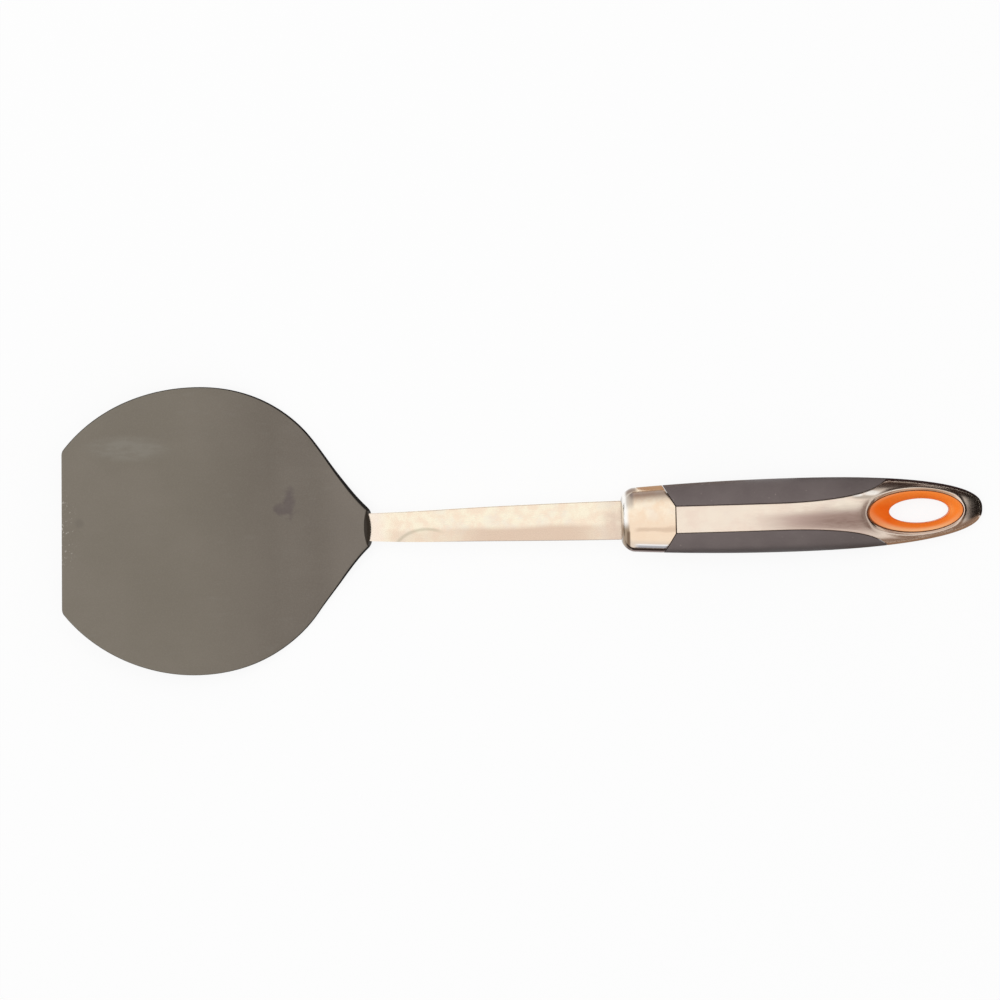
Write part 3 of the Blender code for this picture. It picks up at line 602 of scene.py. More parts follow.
def strip_half_width(along):
    share = max((along - STRIP_FLARE_START) / (STRIP_FLARE_END - STRIP_FLARE_START), 0.0)
    flare = sum(part * share**power for part, power in STRIP_FLARE_SHARES)
    return mix(STRIP_WIDTH / 2, half_width(STRIP_FLARE_END), flare)


def seam(across):
    side = half_width(SEAM_AT_SIDE)
    share = (abs(across) - STRIP_WIDTH / 2) / (side - STRIP_WIDTH / 2)
    return mix(SEAM_AT_STRIP, SEAM_AT_SIDE, clamp(share))


def round_angles(count=144):
    return [math.tau * k / count for k in range(count)]


def collar_row(surface, inset, front, at=None, share=1.0, reach=SEAM_EDGE_ROUND, drop=0.0):
    """A ring round the collar at one place along, or a share of the way from the front's round to the seam,
    less its reach. It lies inset from the outside, and drop below that skin."""

    def halves(along):
        half, above = section_halves(along, inset, inset, front)
        return half - drop, above - drop

    points, places = [], []
    for angle in round_angles():
        along = at
        if at is None:
            along = SEAM_AT_SIDE
            for _ in range(4):
                across = on_section(angle, halves(along))[0]
                along = mix(COLLAR_ROUND_LENGTH, seam(across) - reach, share)
        across, up = on_section(angle, halves(along))
        points.append(on_handle(along, across, up + spine(along)))
        places.append((along, across, halves(along)[0] + drop - abs(across)))
    return surface.row(points, places)


def slot_row(surface, along):
    """The outline of the shank's slot in the collar's front face."""
    half = SHANK_HANDLE_WIDTH / 2 + HAIRLINE
    above = SHANK_THICKNESS / 2 + HAIRLINE
    points, places = [], []
    for angle in round_angles():
        stretch = max(abs(math.cos(angle)), abs(math.sin(angle)))
        across = half * math.cos(angle) / stretch
        points.append(on_handle(along, across, above * math.sin(angle) / stretch))
        places.append((along, across, 0.0))
    return surface.row(points, places)


def make_collar():
    surface = Surface()

    def skin(inset, front):
        ahead = [mix(front, COLLAR_ROUND_LENGTH, share) for share in opening_steps(14)]
        rows = [collar_row(surface, inset, front, at=along) for along in ahead]
        return rows + [collar_row(surface, inset, front, share=share) for share in steps(0.0, 1.0, 16)[1:]]

    outside = skin(0.0, 0.0)
    for turn in (0.35, 0.7, 1.0):
        drop = SEAM_EDGE_ROUND * (1.0 - math.cos(math.pi / 2 * turn))
        reach = SEAM_EDGE_ROUND * (1.0 - math.sin(math.pi / 2 * turn))
        outside.append(collar_row(surface, 0.0, 0.0, reach=reach, drop=drop))
    inside = skin(COLLAR_WALL, COLLAR_FRONT_WALL)
    rows = [slot_row(surface, 0.0)] + outside + inside[::-1] + [slot_row(surface, COLLAR_FRONT_WALL)]
    surface.close(rows, hollow=True)
    show("collar_cap", surface, collar_steel(), "ferrule")


def grip_edge(along):
    return strip_half_width(along) + HAIRLINE / 2


def edge_angle(across, half):
    return math.acos((across / half) ** (SECTION_SHARE / 2.0))


def grip_end():
    low, high = LOOP_START, STRIP_FLARE_END
    for _ in range(40):
        middle = (low + high) / 2
        if outer_height(middle, grip_edge(middle)) > GRIP_TIP_HEIGHT / 2:
            low = middle
        else:
            high = middle
    return low


GRIP_END = grip_end()


def grip_point(share, level, inner):
    inset = GRIP_WALL if inner else 0.0
    top_inset = SHELL_WALL if inner else 0.0

    def on_grip(along):
        halves = section_halves(along, inset, top_inset, 0.0)
        edge = grip_edge(along)
        if edge >= halves[0]:
            return edge, edge, 0.0
        across, up = on_section(level * edge_angle(edge, halves[0]), halves)
        return edge, max(across, edge), up

    along = SEAM_AT_SIDE
    for _ in range(5):
        start = seam(on_grip(along)[1]) + SEAM_GAP
        along = mix(start, GRIP_END, share)
    edge, across, up = on_grip(along)
    from_edge = min(across - edge, along - start)
    if inner:
        land = level * GRIP_TIP_HEIGHT / 4
        up = land if abs(up) < abs(land) else up
    elif up:
        up -= math.copysign(min(edge_drop(from_edge, GRIP_EDGE_ROUND), abs(up) / 2), up)
    return along, across, up, from_edge


def make_grip(name, side, node):
    even = [mix(share, smooth(share), 0.5) for share in steps(0.0, 1.0, 90)]
    stations = sorted(even + [0.0008, 0.0018, 0.003])
    outer_levels = both_sides(sine_steps(26))
    inner_levels = steps(-1.0, 1.0, 10)
    surface = Surface()
    rows = []
    for share in stations:
        spots = [grip_point(share, level, False) for level in outer_levels]
        spots += [grip_point(share, level, True) for level in inner_levels[::-1]]
        points = [on_handle(x, side * y, z + spine(x)) for x, y, z, _ in spots]
        rows.append(surface.row(points, [(x, side * y, e) for x, y, _, e in spots]))
    surface.close(rows)
    show(name, surface, grip_rubber(), node)


def shell_half_width(along):
    return min(strip_half_width(along) - HAIRLINE / 2, half_width(along))


def on_oval(angle, share, growth):
    centre = mix(HOLE_CENTRE, RING_CENTRE, share)
    length = mix(HOLE_LENGTH, RING_LENGTH, share) / 2 + growth
    width = mix(HOLE_WIDTH, RING_WIDTH, share) / 2 + growth
    return centre + length * math.cos(angle), width * math.sin(angle)


def oval_distance(along, across):
    """Roughly how far a place lies outside the ring."""
    a, b = RING_LENGTH / 2, RING_WIDTH / 2
    x, y = along - RING_CENTRE, across
    reach = math.hypot(x / a, y / b)
    steepness = math.hypot(x / a**2, y / b**2) / reach
    return (reach - 1.0) / steepness


def lip_rise(along, across, out):
    """The raised lip, further out beside the ring than at its ends, and the dip towards its front end."""
    x, y = (along - RING_CENTRE) / RING_LENGTH, across / RING_WIDTH
    beside = smooth(2.0 * y * y / (x * x + y * y))
    crest = mix(LIP_AT_END, LIP_BESIDE, beside)
    lip = math.exp(-(((out - crest) / (LIP_HALF_WIDTH + crest / LIP_SPREAD)) ** 2))
    front = smooth((RING_CENTRE - DIP_FROM - along) / DIP_FADE)
    dip = DIP_DEPTH / LIP_HEIGHT * front * (1.0 - clamp(out / DIP_REACH)) ** 2
    return lip - dip


def shell_height(along, across, lip):
    """The shell's outside with its rounded edges and the raised lip round the ring."""
    height = outer_height(along, across)
    strip_edge = shell_half_width(along) - abs(across)
    if strip_half_width(along) < half_width(along):
        height -= edge_drop(max(strip_edge, 0.0), STRIP_EDGE_ROUND)
    height -= edge_drop(along - SEAM_AT_STRIP - SEAM_GAP, STRIP_EDGE_ROUND)
    out = oval_distance(along, across)
    height += lip_rise(along, across, out) * lip
    height -= edge_drop(max(out - HAIRLINE, 0.0), SEAM_EDGE_ROUND)
    return max(height, HAIRLINE / 2 + SHELL_EDGE_LAND * 0.4)


def make_shell(name, side, lip_height, material, node):
    surface = Surface()

    def outside(along, across):
        return shell_height(along, across, lip_height)

    def row(places, height):
        points = [on_handle(x, y, spine(x) + side * height(x, y)) for x, y in places]
        marks = [(x, y, oval_distance(x, y)) for x, y in places]
        return surface.row(points, marks)

    def across_strip(along):
        half = shell_half_width(along)
        inner = (half - STRIP_EDGE_ROUND) / half
        shares = [inner * s for s in steps(0.0, 1.0, 8)]
        shares += [mix(inner, 1.0, s) for s in sine_steps(4)[1:]]
        return [(along, half * s) for s in both_sides(shares)]

    def thin(x, y):
        return outer_height(x, y) - SHELL_WALL

    def parting(_x, _y):
        return HAIRLINE / 2

    start = SEAM_AT_STRIP + SEAM_GAP
    stations = [start + STRIP_EDGE_ROUND * share for share in opening_steps(4)]
    deep_at = LOOP_START - DEEP_BEFORE_LOOP
    stations += steps(start + STRIP_EDGE_ROUND, deep_at - 2 * SHARP_STEP, 70)[1:]
    stations += [deep_at + SHARP_STEP, LOOP_START]
    top = [row(across_strip(x), outside) for x in stations]
    under = [row(across_strip(x), parting if x >= deep_at else thin) for x in stations]
    surface.join_all(top)
    surface.join_all(under)
    surface.join(top[0], under[0])
    for edge in (0, -1):
        surface.join([r[edge] for r in top], [r[edge] for r in under])

    reach = HANDLE_LENGTH - LOOP_START
    sides = [LOOP_START + reach * share for share in sine_steps(60)[1:]]
    left = [(x, shell_half_width(x)) for x in sides]
    front = across_strip(LOOP_START)
    rim = front + left + [(x, -y) for x, y in left[-2::-1]]
    angles = [math.atan2(y / RING_WIDTH, (x - RING_CENTRE) / RING_LENGTH) for x, y in rim]

    def between(growth, share):
        ovals = [on_oval(angle, 1.0, growth) for angle in angles]
        return [(mix(a[0], b[0], share), mix(a[1], b[1], share)) for a, b in zip(ovals, rim)]

    def loop_rows(growth, height, strip_end, shares):
        rows = [row(between(growth, share), height) for share in shares]
        rows.append(strip_end + row(rim[len(front):], height))
        surface.join_all(rows, closed=True)
        return rows[0], rows[-1]

    def groove(_x, _y):
        return FLANGE_THICKNESS / 2 + GROOVE_CLEARANCE

    fine = [0.0, 0.004, 0.012, 0.025, 0.04, 0.06, 0.085, 0.11, 0.14, 0.175, 0.21]
    fine += [mix(0.21, 1.0, share) for share in sine_steps(22)[1:-1]]
    top_oval, top_rim = loop_rows(HAIRLINE, outside, top[-1], fine)
    under_oval, under_rim = loop_rows(GROOVE_REACH, parting, under[-1], sine_steps(4)[:-1])
    lip = row(between(HAIRLINE, 0.0), groove)
    groove_side = row(between(GROOVE_REACH, 0.0), groove)
    surface.join_all([top_oval, lip, groove_side, under_oval], closed=True)
    outline = slice(len(front) - 1, None)
    surface.join(top_rim[outline] + top_rim[:1], under_rim[outline] + under_rim[:1])
    show(name, surface, material, node)


def make_ring():
    surface = Surface()
    angles = round_angles(160)

    def ring_row(share, growth, height, side):
        spots = [on_oval(angle, share, growth) for angle in angles]
        points = [on_handle(x, y, spine(x) + side * height(x, y)) for x, y in spots]
        return surface.row(points, [(x, y, share) for x, y in spots])

    def funnel(share):
        def height(x, y):
            face = mix(RING_WAIST_HEIGHT / 2, outer_height(x, y) - RING_RECESS, share)
            swell = RING_SWELL * math.sin(math.pi * share)
            outer_edge = edge_drop((1.0 - share) * RING_WIDTH / 4, RING_EDGE_ROUND)
            inner_edge = edge_drop(share * RING_WIDTH / 4, RING_EDGE_ROUND)
            return face + swell - outer_edge - inner_edge

        return height

    def flange(_x, _y):
        return FLANGE_THICKNESS / 2

    shares = [0.0, 0.01, 0.03, 0.06, 0.1] + steps(0.15, 0.85, 12) + [0.9, 0.94, 0.97, 0.99, 1.0]

    def half_section(side):
        faces = [ring_row(share, 0.0, funnel(share), side) for share in shares]
        return faces + [ring_row(1.0, 0.0, flange, side), ring_row(1.0, FLANGE_REACH, flange, side)]

    rows = half_section(1) + half_section(-1)[::-1]
    surface.close(rows, hollow=True)
    show("ring_liner", surface, ring_plastic(), "hole_ring", sharp=50)


# Materials


class Nodes:
    """A node tree, with short ways to add and join its nodes."""

    def __init__(self, tree):
        self.tree = tree

    def add(self, kind, **inputs):
        node = self.tree.nodes.new("ShaderNode" + kind)
        for name, value in inputs.items():
            self.put(node.inputs[name], value)
        return node

    def put(self, socket, value):
        """Links another node's output to a socket, or sets a plain number or colour on it."""
        if isinstance(value, bpy.types.NodeSocket):
            self.tree.links.new(value, socket)
        elif socket.type == "RGBA":
            socket.default_value = (*value, 1.0)
        else:
            socket.default_value = value

    def calc(self, operation, first, second=0.0):
        node = self.add("Math")
        node.operation = operation
        self.put(node.inputs[0], first)
        self.put(node.inputs[1], second)
        return node.outputs[0]

    def less(self, first, second):
        return self.calc("SUBTRACT", first, second)

    def plus(self, first, second):
        return self.calc("ADD", first, second)

    def all_of(self, *shares):
        """The product of some shares."""
        total = shares[0]
        for share in shares[1:]:
            total = self.calc("MULTIPLY", total, share)
        return total

    def fit(self, value, low, high, new_low=0.0, new_high=1.0):
        """Value from low to high becomes new_low to new_high, levelled off smoothly."""
        node = self.add("MapRange")
        node.interpolation_type = "SMOOTHSTEP"
        for socket, given in zip(node.inputs, (value, low, high, new_low, new_high)):
            self.put(socket, given)
        return node.outputs[0]

    def band(self, value, middle, reach, core):
        """1 within the core of a middle value, falling to 0 at its reach."""
        return self.fit(self.calc("ABSOLUTE", self.less(value, middle)), reach, core)

    def blend(self, share, first, second):
        node = self.add("Mix")
        node.data_type = "RGBA"
        self.put(node.inputs["Factor"], share)
        self.put(node.inputs[6], first)
        self.put(node.inputs[7], second)
        return node.outputs[2]

    def seen(self, unseen_value, seen_value):
        """One value for rays that look at a thing, another for those that only carry its light."""
        rays = self.add("LightPath").outputs
        share = rays["Is Camera Ray"]
        for name in ("Is Glossy Ray", "Is Transmission Ray"):
            share = self.calc("MAXIMUM", share, rays[name])
        return self.fit(share, 0.0, 1.0, unseen_value, seen_value)


class Finish(Nodes):
    """A piece's material, painted coat over coat."""

    def __init__(self, name, rough, metallic=0.0, specular=0.5):
        self.material = bpy.data.materials.new(name)
        self.material.use_nodes = True
        super().__init__(self.material.node_tree)
        self.shader = self.tree.nodes["Principled BSDF"]
        self.shader.inputs["Metallic"].default_value = metallic
        self.shader.inputs["Roughness"].default_value = rough
        self.shader.inputs["Specular IOR Level"].default_value = specular
        self.colour = None
        place = self.add("Attribute")
        place.attribute_name = "place"
        self.along, self.across, self.edge = self.add("SeparateXYZ", Vector=place.outputs["Vector"]).outputs
        self.object = self.add("TexCoord").outputs["Object"]

    def noise(self, size, detail=2.0, stretch=(1.0, 1.0, 1.0), seed=0.0, roughness=0.5):
        """Noise whose blotches are about size across."""
        shift = (seed, seed * 0.7, seed * 0.3)
        place = self.add("Mapping", Vector=self.object, Location=shift, Scale=stretch).outputs[0]
        node = self.add("TexNoise", Vector=place, Scale=1.0 / size, Detail=detail, Roughness=roughness)
        return node.outputs[0]

    def oval(self, along, across, reach_along, reach_across):
        """How far a place is from an oval's middle, 1 on its outline."""
        x = self.calc("DIVIDE", self.less(self.along, along), reach_along)
        y = self.calc("DIVIDE", self.less(self.across, across), reach_across)
        return self.calc("SQRT", self.plus(self.all_of(x, x), self.all_of(y, y)))

    def spot(self, along, across, reach_along, reach_across, wobble=None):
        """1 inside an oval on the piece, falling softly to 0 at its outline."""
        distance = self.oval(along, across, reach_along, reach_across)
        if wobble is not None:
            distance = self.plus(distance, self.fit(wobble, 0.3, 0.7, -0.5, 0.5))
        return self.fit(distance, 1.0, 0.35)

    def paint(self, colour, *shares):
        """A coat over those before, as strong as the product of the shares."""
        self.colour = self.blend(self.all_of(*shares), self.colour, colour)

    def bump(self, height, strength, distance):
        node = self.add("Bump", Strength=strength, Distance=distance, Height=height)
        self.put(self.shader.inputs["Normal"], node.outputs[0])

    def done(self, rough):
        self.put(self.shader.inputs["Base Color"], self.colour)
        self.put(self.shader.inputs["Roughness"], rough)
        return self.material


def blade_nylon():
    finish = Finish("nylon", 0.5, specular=0.3)
    fit, noise, spot, all_of, paint = finish.fit, finish.noise, finish.spot, finish.all_of, finish.paint
    along, across = finish.along, finish.across
    grain = noise(0.0005, 3.0)
    cloud = fit(noise(0.03, 3.0, seed=3.0), 0.3, 0.7)
    smear = noise(0.006, 4.0, stretch=(0.35, 1.6, 1.0), seed=5.0)
    front = finish.blend(cloud, (0.194, 0.169, 0.134), (0.210, 0.183, 0.147))
    rear = finish.blend(cloud, (0.152, 0.128, 0.104), (0.166, 0.141, 0.115))
    finish.colour = finish.blend(fit(along, 0.04, 0.1), front, rear)
    paint((0.192, 0.164, 0.136), fit(along, 0.098, 0.112))
    paint((0.30, 0.27, 0.23), fit(grain, 0.35, 0.75, 0.0, 0.14))
    paint((0.27, 0.25, 0.22), fit(smear, 0.58, 0.8, 0.0, 0.16))
    scuff = spot(0.0263, 0.0325, 0.02, 0.0062)
    streaks = noise(0.0016, 3.0, stretch=(0.09, 1.0, 1.0), seed=15.0)
    paint((0.34, 0.33, 0.29), scuff, fit(streaks, 0.34, 0.66, 0.12, 0.27))
    blot = fit(noise(0.003, 3.0, seed=8.0), 0.2, 0.8, 0.42, 0.58)
    stain = spot(0.0880, 0.0098, 0.0032, 0.0074, blot)
    stain = finish.calc("MAXIMUM", stain, spot(0.0862, 0.0070, 0.0056, 0.0032, blot))
    paint((0.075, 0.052, 0.064), stain, 0.42)
    paint((0.06, 0.05, 0.045), spot(0.0065, 0.0037, 0.0026, 0.0024), 0.17)
    flecks = fit(noise(0.0009, 2.0, seed=11.0), 0.60, 0.70)
    worn = spot(0.0, 0.0006, 0.05, 0.0185)
    paint((0.52, 0.49, 0.44), flecks, worn, fit(along, 0.0062, 0.0008), 0.75)
    # Painted shade: the rim darkened nearly to black, wider towards the neck, for the side wall in shade
    behind = fit(along, 0.05, 0.1, 0.0003, 0.0012)
    width = all_of(behind, fit(across, -0.01, 0.01, 0.55, 1.0))
    rim = fit(finish.calc("DIVIDE", finish.edge, width), 1.0, 0.55)
    paint((0.003, 0.002, 0.002), rim, 0.96)
    # Painted shade: a near-black band at the neck's end, where the moulding turns down to the shank
    bow = all_of(across, across, 8.0)
    neck = fit(finish.less(along, bow), BLADE_LENGTH - 0.0003, BLADE_LENGTH)
    paint((0.014, 0.008, 0.003), neck, 0.93)
    finish.bump(grain, 0.12, 0.00015)
    rough = finish.calc("MAXIMUM", fit(smear, 0.3, 0.7, 0.44, 0.56), all_of(rim, 0.95))
    return finish.done(rough)


def mottled_steel(name, light, warm, grey, rough, size, relief=0.06):
    """Steel with soft warm and grey blotches, a fine grain and faint brushing along the piece."""
    finish = Finish(name, rough, 1.0)
    fit, noise = finish.fit, finish.noise
    blotch = noise(size, 4.0, roughness=0.6)
    other = noise(size * 1.7, 3.0, seed=4.0, roughness=0.55)
    grain = noise(0.0005, 2.0, seed=2.0)
    brushed = noise(0.0006, 3.0, stretch=(0.06, 1.0, 1.0), seed=6.0)
    finish.colour = finish.blend(fit(blotch, 0.36, 0.66), light, warm)
    finish.paint(grey, fit(other, 0.5, 0.72, 0.0, 0.55))
    finish.paint(grey, fit(grain, 0.45, 0.75, 0.0, 0.12))
    finish.bump(finish.plus(brushed, finish.all_of(grain, 0.6)), relief, 0.00008)
    return finish, fit(brushed, 0.3, 0.7, rough * 0.85, rough * 1.2)


def shank_steel():
    light, warm, grey = (0.99, 0.90, 0.71), (0.96, 0.79, 0.62), (0.90, 0.83, 0.72)
    finish, rough = mottled_steel("satin_shank", light, warm, grey, 0.24, 0.004)
    fit, all_of, paint = finish.fit, finish.all_of, finish.paint
    across = finish.across
    from_collar = finish.less(COLLAR_FRONT, finish.along)
    # Painted reflection: the bar darker and warmer below a wavy line along it, fading towards both ends
    wave = finish.calc("SINE", all_of(finish.along, 170.0))
    top = finish.plus(all_of(wave, 0.0003), -0.0016)
    below = fit(finish.less(across, top), 0.0014, -0.0012)
    front = fit(from_collar, 0.07, 0.05, 0.4, 0.95)
    ends = all_of(fit(from_collar, 0.094, 0.086), fit(from_collar, 0.0, 0.02, 0.3, 1.0))
    paint((0.76, 0.58, 0.45), below, front, ends)
    # Painted reflection: a darker arc on the bar near the blade end
    arc = finish.band(finish.oval(COLLAR_FRONT - 0.0750, -0.0114, 0.013, 0.0103), 1.0, 0.1, 0.0)
    paint((0.50, 0.45, 0.33), arc, fit(from_collar, 0.067, 0.0725), 0.55)
    # Painted reflection: a dark grey line along the bar's lower edge
    lower_edge = all_of(fit(across, -0.003, -0.004), fit(finish.edge, 0.0004, 0.0001))
    paint((0.40, 0.38, 0.38), lower_edge, fit(from_collar, 0.075, 0.06), 0.6)
    paint((0.98, 0.86, 0.76), fit(from_collar, 0.088, 0.096, 0.0, 0.6))
    # Painted shade: pinkish-grey shade on the bar just in front of the collar, broken up in patches
    patches = fit(finish.noise(0.003, 3.0, seed=9.0), 0.3, 0.65, 0.6, 1.0)
    shade_before_collar = all_of(fit(from_collar, 0.0098, 0.003), fit(across, 0.006, 0.001, 0.4, 0.85))
    paint((0.75, 0.59, 0.48), shade_before_collar, patches)
    return finish.done(rough)


def collar_steel():
    light, warm, grey = (0.99, 0.86, 0.68), (0.95, 0.75, 0.56), (0.92, 0.80, 0.68)
    finish, rough = mottled_steel("polished_collar", light, warm, grey, 0.14, 0.004)
    fit, band, all_of, paint = finish.fit, finish.band, finish.all_of, finish.paint
    along, across, inwards = finish.along, finish.across, finish.edge
    # The coats below paint the polished collar's reflections into its colour: bands, lines, dark patches and
    # a white highlight
    behind_round = fit(along, 0.004, 0.007)
    low = fit(across, -0.003, -0.006)
    # Painted reflection: darker and warmer towards the lower side
    paint((0.91, 0.71, 0.53), fit(across, 0.0045, -0.003), 0.8)
    # Painted reflection: a dark wavy band along the lower side, behind the front's round
    wobble = fit(finish.noise(0.006, 2.0, seed=12.0), 0.3, 0.7, -0.0004, 0.0004)
    reflected_band = band(finish.plus(across, wobble), -0.0034, 0.0014, 0.0003)
    paint((0.62, 0.45, 0.33), reflected_band, behind_round, 0.55)
    # Painted reflection: greyer near the lower edge
    paint((0.66, 0.58, 0.50), low, fit(inwards, 0.0056, 0.0032), 0.6)
    # Painted highlight: the front's round almost white
    paint((1.0, 0.98, 0.95), fit(along, 0.0034, 0.0016))
    # Painted reflections: grey and dark brown patches at the front's round, a dark line, a grey outline at
    # the very front and a dark corner
    left_front = all_of(fit(along, 0.0014, 0.0024), fit(along, 0.0054, 0.004))
    paint((0.52, 0.46, 0.40), left_front, fit(across, 0.0035, 0.007), 0.75)
    right_front = all_of(fit(along, 0.0034, 0.0026), fit(across, 0.0002, -0.0036))
    paint((0.34, 0.25, 0.17), right_front, 0.95)
    inner = band(along, 0.0026, 0.0009, 0.0003)
    paint((0.17, 0.11, 0.07), inner, fit(across, -0.0034, -0.0046), 0.8)
    paint((0.48, 0.45, 0.42), fit(along, 0.0008, 0.0002, 0.0, 0.8))
    corner = all_of(fit(along, 0.0012, 0.003), fit(along, 0.0068, 0.0052), fit(inwards, 0.0018, 0.0009))
    paint((0.28, 0.20, 0.16), corner, fit(across, 0.004, 0.008), 0.85)
    # Painted reflections: a pale band, a grey line and a dark line along the lower edge
    pale = band(inwards, 0.0028, 0.0009, 0.0004)
    paint((0.93, 0.92, 0.93), low, pale, behind_round, 0.85)
    line = band(inwards, 0.0024, 0.0007, 0.0003)
    paint((0.34, 0.34, 0.37), low, line, behind_round, 0.85)
    dark = band(inwards, 0.0013, 0.0008, 0.0003)
    paint((0.09, 0.06, 0.045), low, dark, fit(along, 0.001, 0.0022), 0.8)
    return finish.done(rough)


def shell_steel():
    light, warm, grey = (0.91, 0.79, 0.66), (0.88, 0.73, 0.61), (0.84, 0.74, 0.66)
    finish, rough = mottled_steel("satin_shell", light, warm, grey, 0.22, 0.009, 0.003)
    fit, spot, paint = finish.fit, finish.spot, finish.paint
    along, across = finish.along, finish.across
    # Painted reflection: darker and pinker towards the lower side of the strip, over its middle stretch
    low = fit(across, 0.0026, -0.0008)
    stretch = finish.all_of(fit(along, 0.044, 0.07), fit(along, 0.1, 0.09, 0.4, 1.0))
    paint((0.56, 0.42, 0.36), low, stretch, fit(across, -0.0025, -0.0045, 1.0, 0.8))
    # Painted shade: darker close round the ring's front end, where the surface curves down
    before = fit(finish.edge, 0.005, 0.0014)
    paint((0.42, 0.33, 0.27), before, fit(along, 0.102, 0.096), 0.55)
    # Painted shade: a dark crease mark, with two painted glints beside it
    paint((0.40, 0.35, 0.29), spot(0.0925, 0.0064, 0.0055, 0.0011), 0.7)
    glints = (spot(0.0962, 0.0078, 0.0045, 0.0013), spot(0.0905, 0.0072, 0.003, 0.0009))
    paint((1.0, 0.96, 0.90), finish.calc("MAXIMUM", *glints), 0.85)
    # Painted highlight: a brighter patch on the strip ahead of the loop
    paint((1.0, 0.90, 0.75), spot(0.086, 0.0034, 0.009, 0.0026), 0.6)
    # Painted reflection: a brown-orange tint of the ring's colour on the steel just round the ring's sides
    beside = fit(finish.oval(RING_CENTRE, 0.0, 0.018, 0.2), 1.0, 0.8)
    inner = finish.all_of(fit(finish.edge, 0.0012, 0.0007), beside)
    paint((0.52, 0.30, 0.18), inner, fit(across, 0.002, 0.007, 0.45, 0.9))
    return finish.done(rough)


def grip_rubber():
    finish = Finish("grip_elastomer", 0.55, specular=0.4)
    fit, noise, paint = finish.fit, finish.noise, finish.paint
    grain = noise(0.00035, 3.0, seed=1.0)
    cloud = noise(0.012, 3.0, seed=2.0)
    finish.colour = finish.blend(fit(cloud, 0.3, 0.7), (0.134, 0.107, 0.103), (0.160, 0.130, 0.125))
    paint((0.25, 0.21, 0.20), fit(grain, 0.4, 0.75, 0.0, 0.16))
    specks = noise(0.0011, 1.0, seed=7.0)
    paint((0.40, 0.33, 0.31), fit(specks, 0.74, 0.80, 0.0, 0.5))
    paint((0.095, 0.075, 0.071), fit(finish.along, 0.07, 0.1, 0.0, 0.4))
    # Painted shade: darker along the grip's lower side edge
    paint((0.035, 0.026, 0.026), fit(finish.across, -0.0105, -0.0136, 0.0, 0.75))
    finish.bump(grain, 0.25, 0.0002)
    return finish.done(fit(cloud, 0.3, 0.7, 0.5, 0.6))


def ring_plastic():
    finish = Finish("ring_orange", 0.45, specular=0.9)
    fit, all_of, paint = finish.fit, finish.all_of, finish.paint
    finish.shader.inputs["Specular Tint"].default_value = (1.0, 0.42, 0.14, 1.0)
    along, across, edge = finish.along, finish.across, finish.edge
    cloud = finish.noise(0.005, 3.0, seed=3.0)
    grain = finish.noise(0.0006, 2.0, seed=5.0)
    front = fit(along, RING_CENTRE - 0.004, RING_CENTRE - 0.0125)
    deep = all_of(front, fit(across, 0.001, 0.005, 1.0, 0.35))
    finish.colour = finish.blend(deep, (1.0, 0.235, 0.028), (1.0, 0.135, 0.0))
    paint((1.0, 0.26, 0.045), fit(cloud, 0.35, 0.7, 0.0, 0.25))
    rear = fit(along, RING_CENTRE + 0.012, RING_CENTRE + 0.015)
    paint((1.0, 0.36, 0.09), fit(edge, 0.5, 0.1), rear, 0.7)
    # Painted highlight: a peach band over the outer part of the ring's face, weaker near its front
    away = finish.less(all_of(finish.less(RING_CENTRE, along), 0.5), across)
    start = finish.less(edge, fit(across, -0.003, 0.002, 0.0, 0.3))
    peach = all_of(fit(start, 0.36, 0.78), fit(away, -0.0085, 0.004, 0.2, 0.95))
    past_front = fit(along, RING_CENTRE - 0.0175, RING_CENTRE - 0.008, 0.4, 1.0)
    paint((1.0, 0.50, 0.24), peach, past_front)
    # Painted highlight: a light rim at the hole's edge
    paint((1.0, 0.50, 0.27), fit(edge, 0.05, 0.01, 0.0, 0.35))
    # Painted shade: a dark line along the ring's outer edge, wider on one side
    thick = fit(away, 0.002, 0.009, 0.0, 0.04)
    paint((0.16, 0.045, 0.015), fit(finish.plus(edge, thick), 0.945, 0.98, 0.0, 0.85))
    finish.bump(grain, 0.08, 0.00012)
    return finish.done(fit(cloud, 0.3, 0.7, 0.4, 0.5))


def plain_inside(node, name, colour, rough, metallic=0.0):
    """A finish for a solid that hardly shows, through the hairlines between other pieces."""
    finish = Finish(name, rough, metallic)
    grain = finish.noise(0.0008, 3.0)
    darker = tuple(0.6 * part for part in colour)
    finish.colour = finish.blend(finish.fit(grain, 0.3, 0.7), darker, colour)
    finish.bump(grain, 0.1, 0.0001)
    material = finish.done(finish.fit(grain, 0.3, 0.7, rough, rough + 0.1))
    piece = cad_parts[node]
    piece.data.materials.clear()
    piece.data.materials.append(material)


# Studio


def make_sheet(name, outline, level):
    """A flat thing of the studio, its corners in order."""
    mesh = bpy.data.meshes.new(name)
    mesh.from_pydata([(x, y, level) for x, y in outline], [], [tuple(range(len(outline)))])
    material = bpy.data.materials.new(name)
    material.use_nodes = True
    mesh.materials.append(material)
    sheet = bpy.data.objects.new(name, mesh)
    bpy.context.scene.collection.objects.link(sheet)
    return sheet, Nodes(material.node_tree)


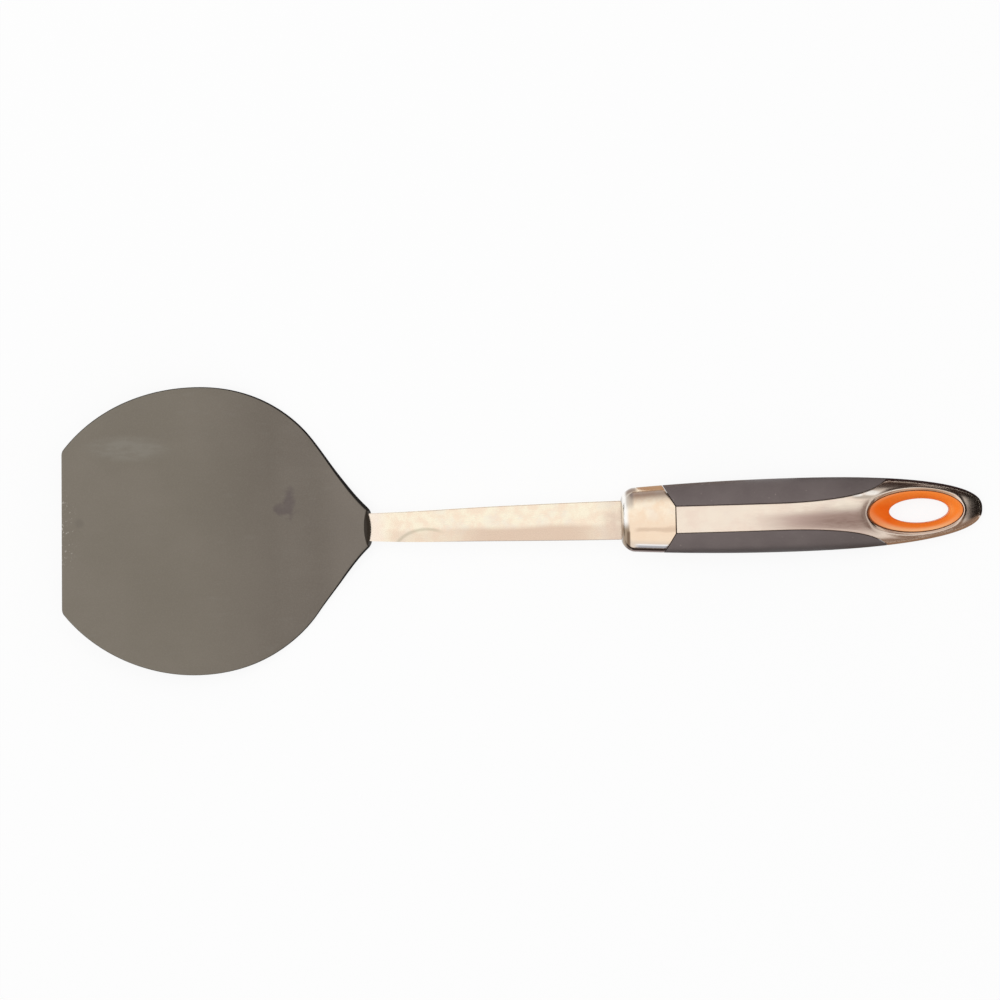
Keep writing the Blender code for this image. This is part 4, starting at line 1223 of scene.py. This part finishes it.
def make_floor():
    """A plain white floor that keeps a faint shadow, as white to reflections as to the camera."""
    reach = FLOOR_REACH
    outline = ((-reach, -reach), (reach, -reach), (reach, reach), (-reach, reach))
    _, nodes = make_sheet("studio_floor", outline, FLOOR_LEVEL)
    shader = nodes.tree.nodes["Principled BSDF"]
    shader.inputs["Base Color"].default_value = (0.95, 0.95, 0.95, 1.0)
    shader.inputs["Roughness"].default_value = 1.0
    shader.inputs["Specular IOR Level"].default_value = 0.0
    white = nodes.add("Emission").outputs[0]
    both = nodes.add("MixShader")
    for socket, value in zip(both.inputs, (nodes.seen(0.0, FLOOR_WHITE_SHARE), shader.outputs[0], white)):
        nodes.put(socket, value)
    nodes.put(nodes.tree.nodes["Material Output"].inputs["Surface"], both.outputs[0])


def make_card(name, outline, colour):
    """A card beside the handle that only polished metal reflects."""
    card, nodes = make_sheet(name, outline, CARD_LEVEL)
    glow = nodes.add("Emission", Color=colour)
    nodes.put(nodes.tree.nodes["Material Output"].inputs["Surface"], glow.outputs[0])
    card.visible_camera = False
    card.visible_diffuse = False
    card.visible_transmission = False
    card.visible_shadow = False


def towards(turn, from_up):
    turn, from_up = math.radians(turn), math.radians(from_up)
    return math.sin(from_up) * math.cos(turn), math.sin(from_up) * math.sin(turn), math.cos(from_up)


def make_world():
    """Plain white light, with a few dark walls that only reflections see."""
    world = bpy.data.worlds.new("studio_world")
    bpy.context.scene.world = world
    world.use_nodes = True
    nodes = Nodes(world.node_tree)
    direction = nodes.add("TexCoord").outputs["Generated"]
    white = (1.0, 1.0, 1.0)
    colour = white
    for turn, from_up, half_angle, softness, wall in WALLS:
        dot = nodes.add("VectorMath")
        dot.operation = "DOT_PRODUCT"
        nodes.put(dot.inputs[0], direction)
        nodes.put(dot.inputs[1], towards(turn, from_up))
        angle = nodes.calc("ARCCOSINE", dot.outputs["Value"])
        share = nodes.fit(angle, math.radians(half_angle), math.radians(half_angle - softness))
        colour = nodes.blend(share, colour, wall)
    glossy = nodes.add("LightPath").outputs["Is Glossy Ray"]
    background = nodes.tree.nodes["Background"]
    nodes.put(background.inputs["Color"], nodes.blend(glossy, white, colour))
    nodes.put(background.inputs["Strength"], nodes.seen(WORLD_LEVEL, 1.0))


def make_lamp():
    """A soft square lamp that points at the object. Its level is what it adds to a white sheet there."""
    data = bpy.data.lights.new("overhead_lamp", "AREA")
    data.shape = "SQUARE"
    data.size = LAMP_SIZE
    at = Vector(LAMP_AT)
    data.energy = LAMP_LEVEL * math.pi**2 * at.length**2 / at.normalized().z
    lamp = bpy.data.objects.new("overhead_lamp", data)
    lamp.location = at
    lamp.rotation_euler = at.to_track_quat("Z", "Y").to_euler()
    lamp.visible_glossy = False
    lamp.visible_camera = False
    bpy.context.scene.collection.objects.link(lamp)


def make_camera():
    data = bpy.data.cameras.new("camera")
    data.sensor_width = SENSOR_MM
    data.lens = FOCAL_SHARE * SENSOR_MM
    data.clip_start = 0.01
    data.shift_x = -HALF_PIXEL_SHARE
    data.shift_y = HALF_PIXEL_SHARE
    camera = bpy.data.objects.new("camera", data)
    turn = (
        Matrix.Rotation(CAMERA_ROLL, 3, "Z")
        @ Matrix.Rotation(CAMERA_TILT_Y, 3, "Y")
        @ Matrix.Rotation(CAMERA_TILT_X, 3, "X")
    )
    camera.matrix_world = Matrix.Translation(CAMERA_AT) @ turn.transposed().to_4x4()
    bpy.context.scene.collection.objects.link(camera)
    bpy.context.scene.camera = camera


def main():
    make_blade()
    make_shank()
    make_collar()
    steel = shell_steel()
    make_shell("upper_strip_and_loop", 1, LIP_HEIGHT, steel, "upper_shell")
    make_shell("lower_strip_and_loop", -1, 0.0, steel, "lower_shell")
    make_grip("grip_left", 1, "left_grip")
    make_grip("grip_right", -1, "right_grip")
    make_ring()
    plain_inside("handle_core", "core_moulding", (0.05, 0.05, 0.052), 0.5)
    plain_inside("front_tang_pin", "pin_front", (0.56, 0.56, 0.58), 0.3, 1.0)
    plain_inside("rear_tang_pin", "pin_rear", (0.56, 0.56, 0.58), 0.3, 1.0)
    make_floor()
    for name, outline, colour in CARDS:
        make_card(name, outline, colour)
    make_world()
    make_lamp()
    make_camera()
    bpy.context.scene.view_settings.view_transform = "Standard"


main()
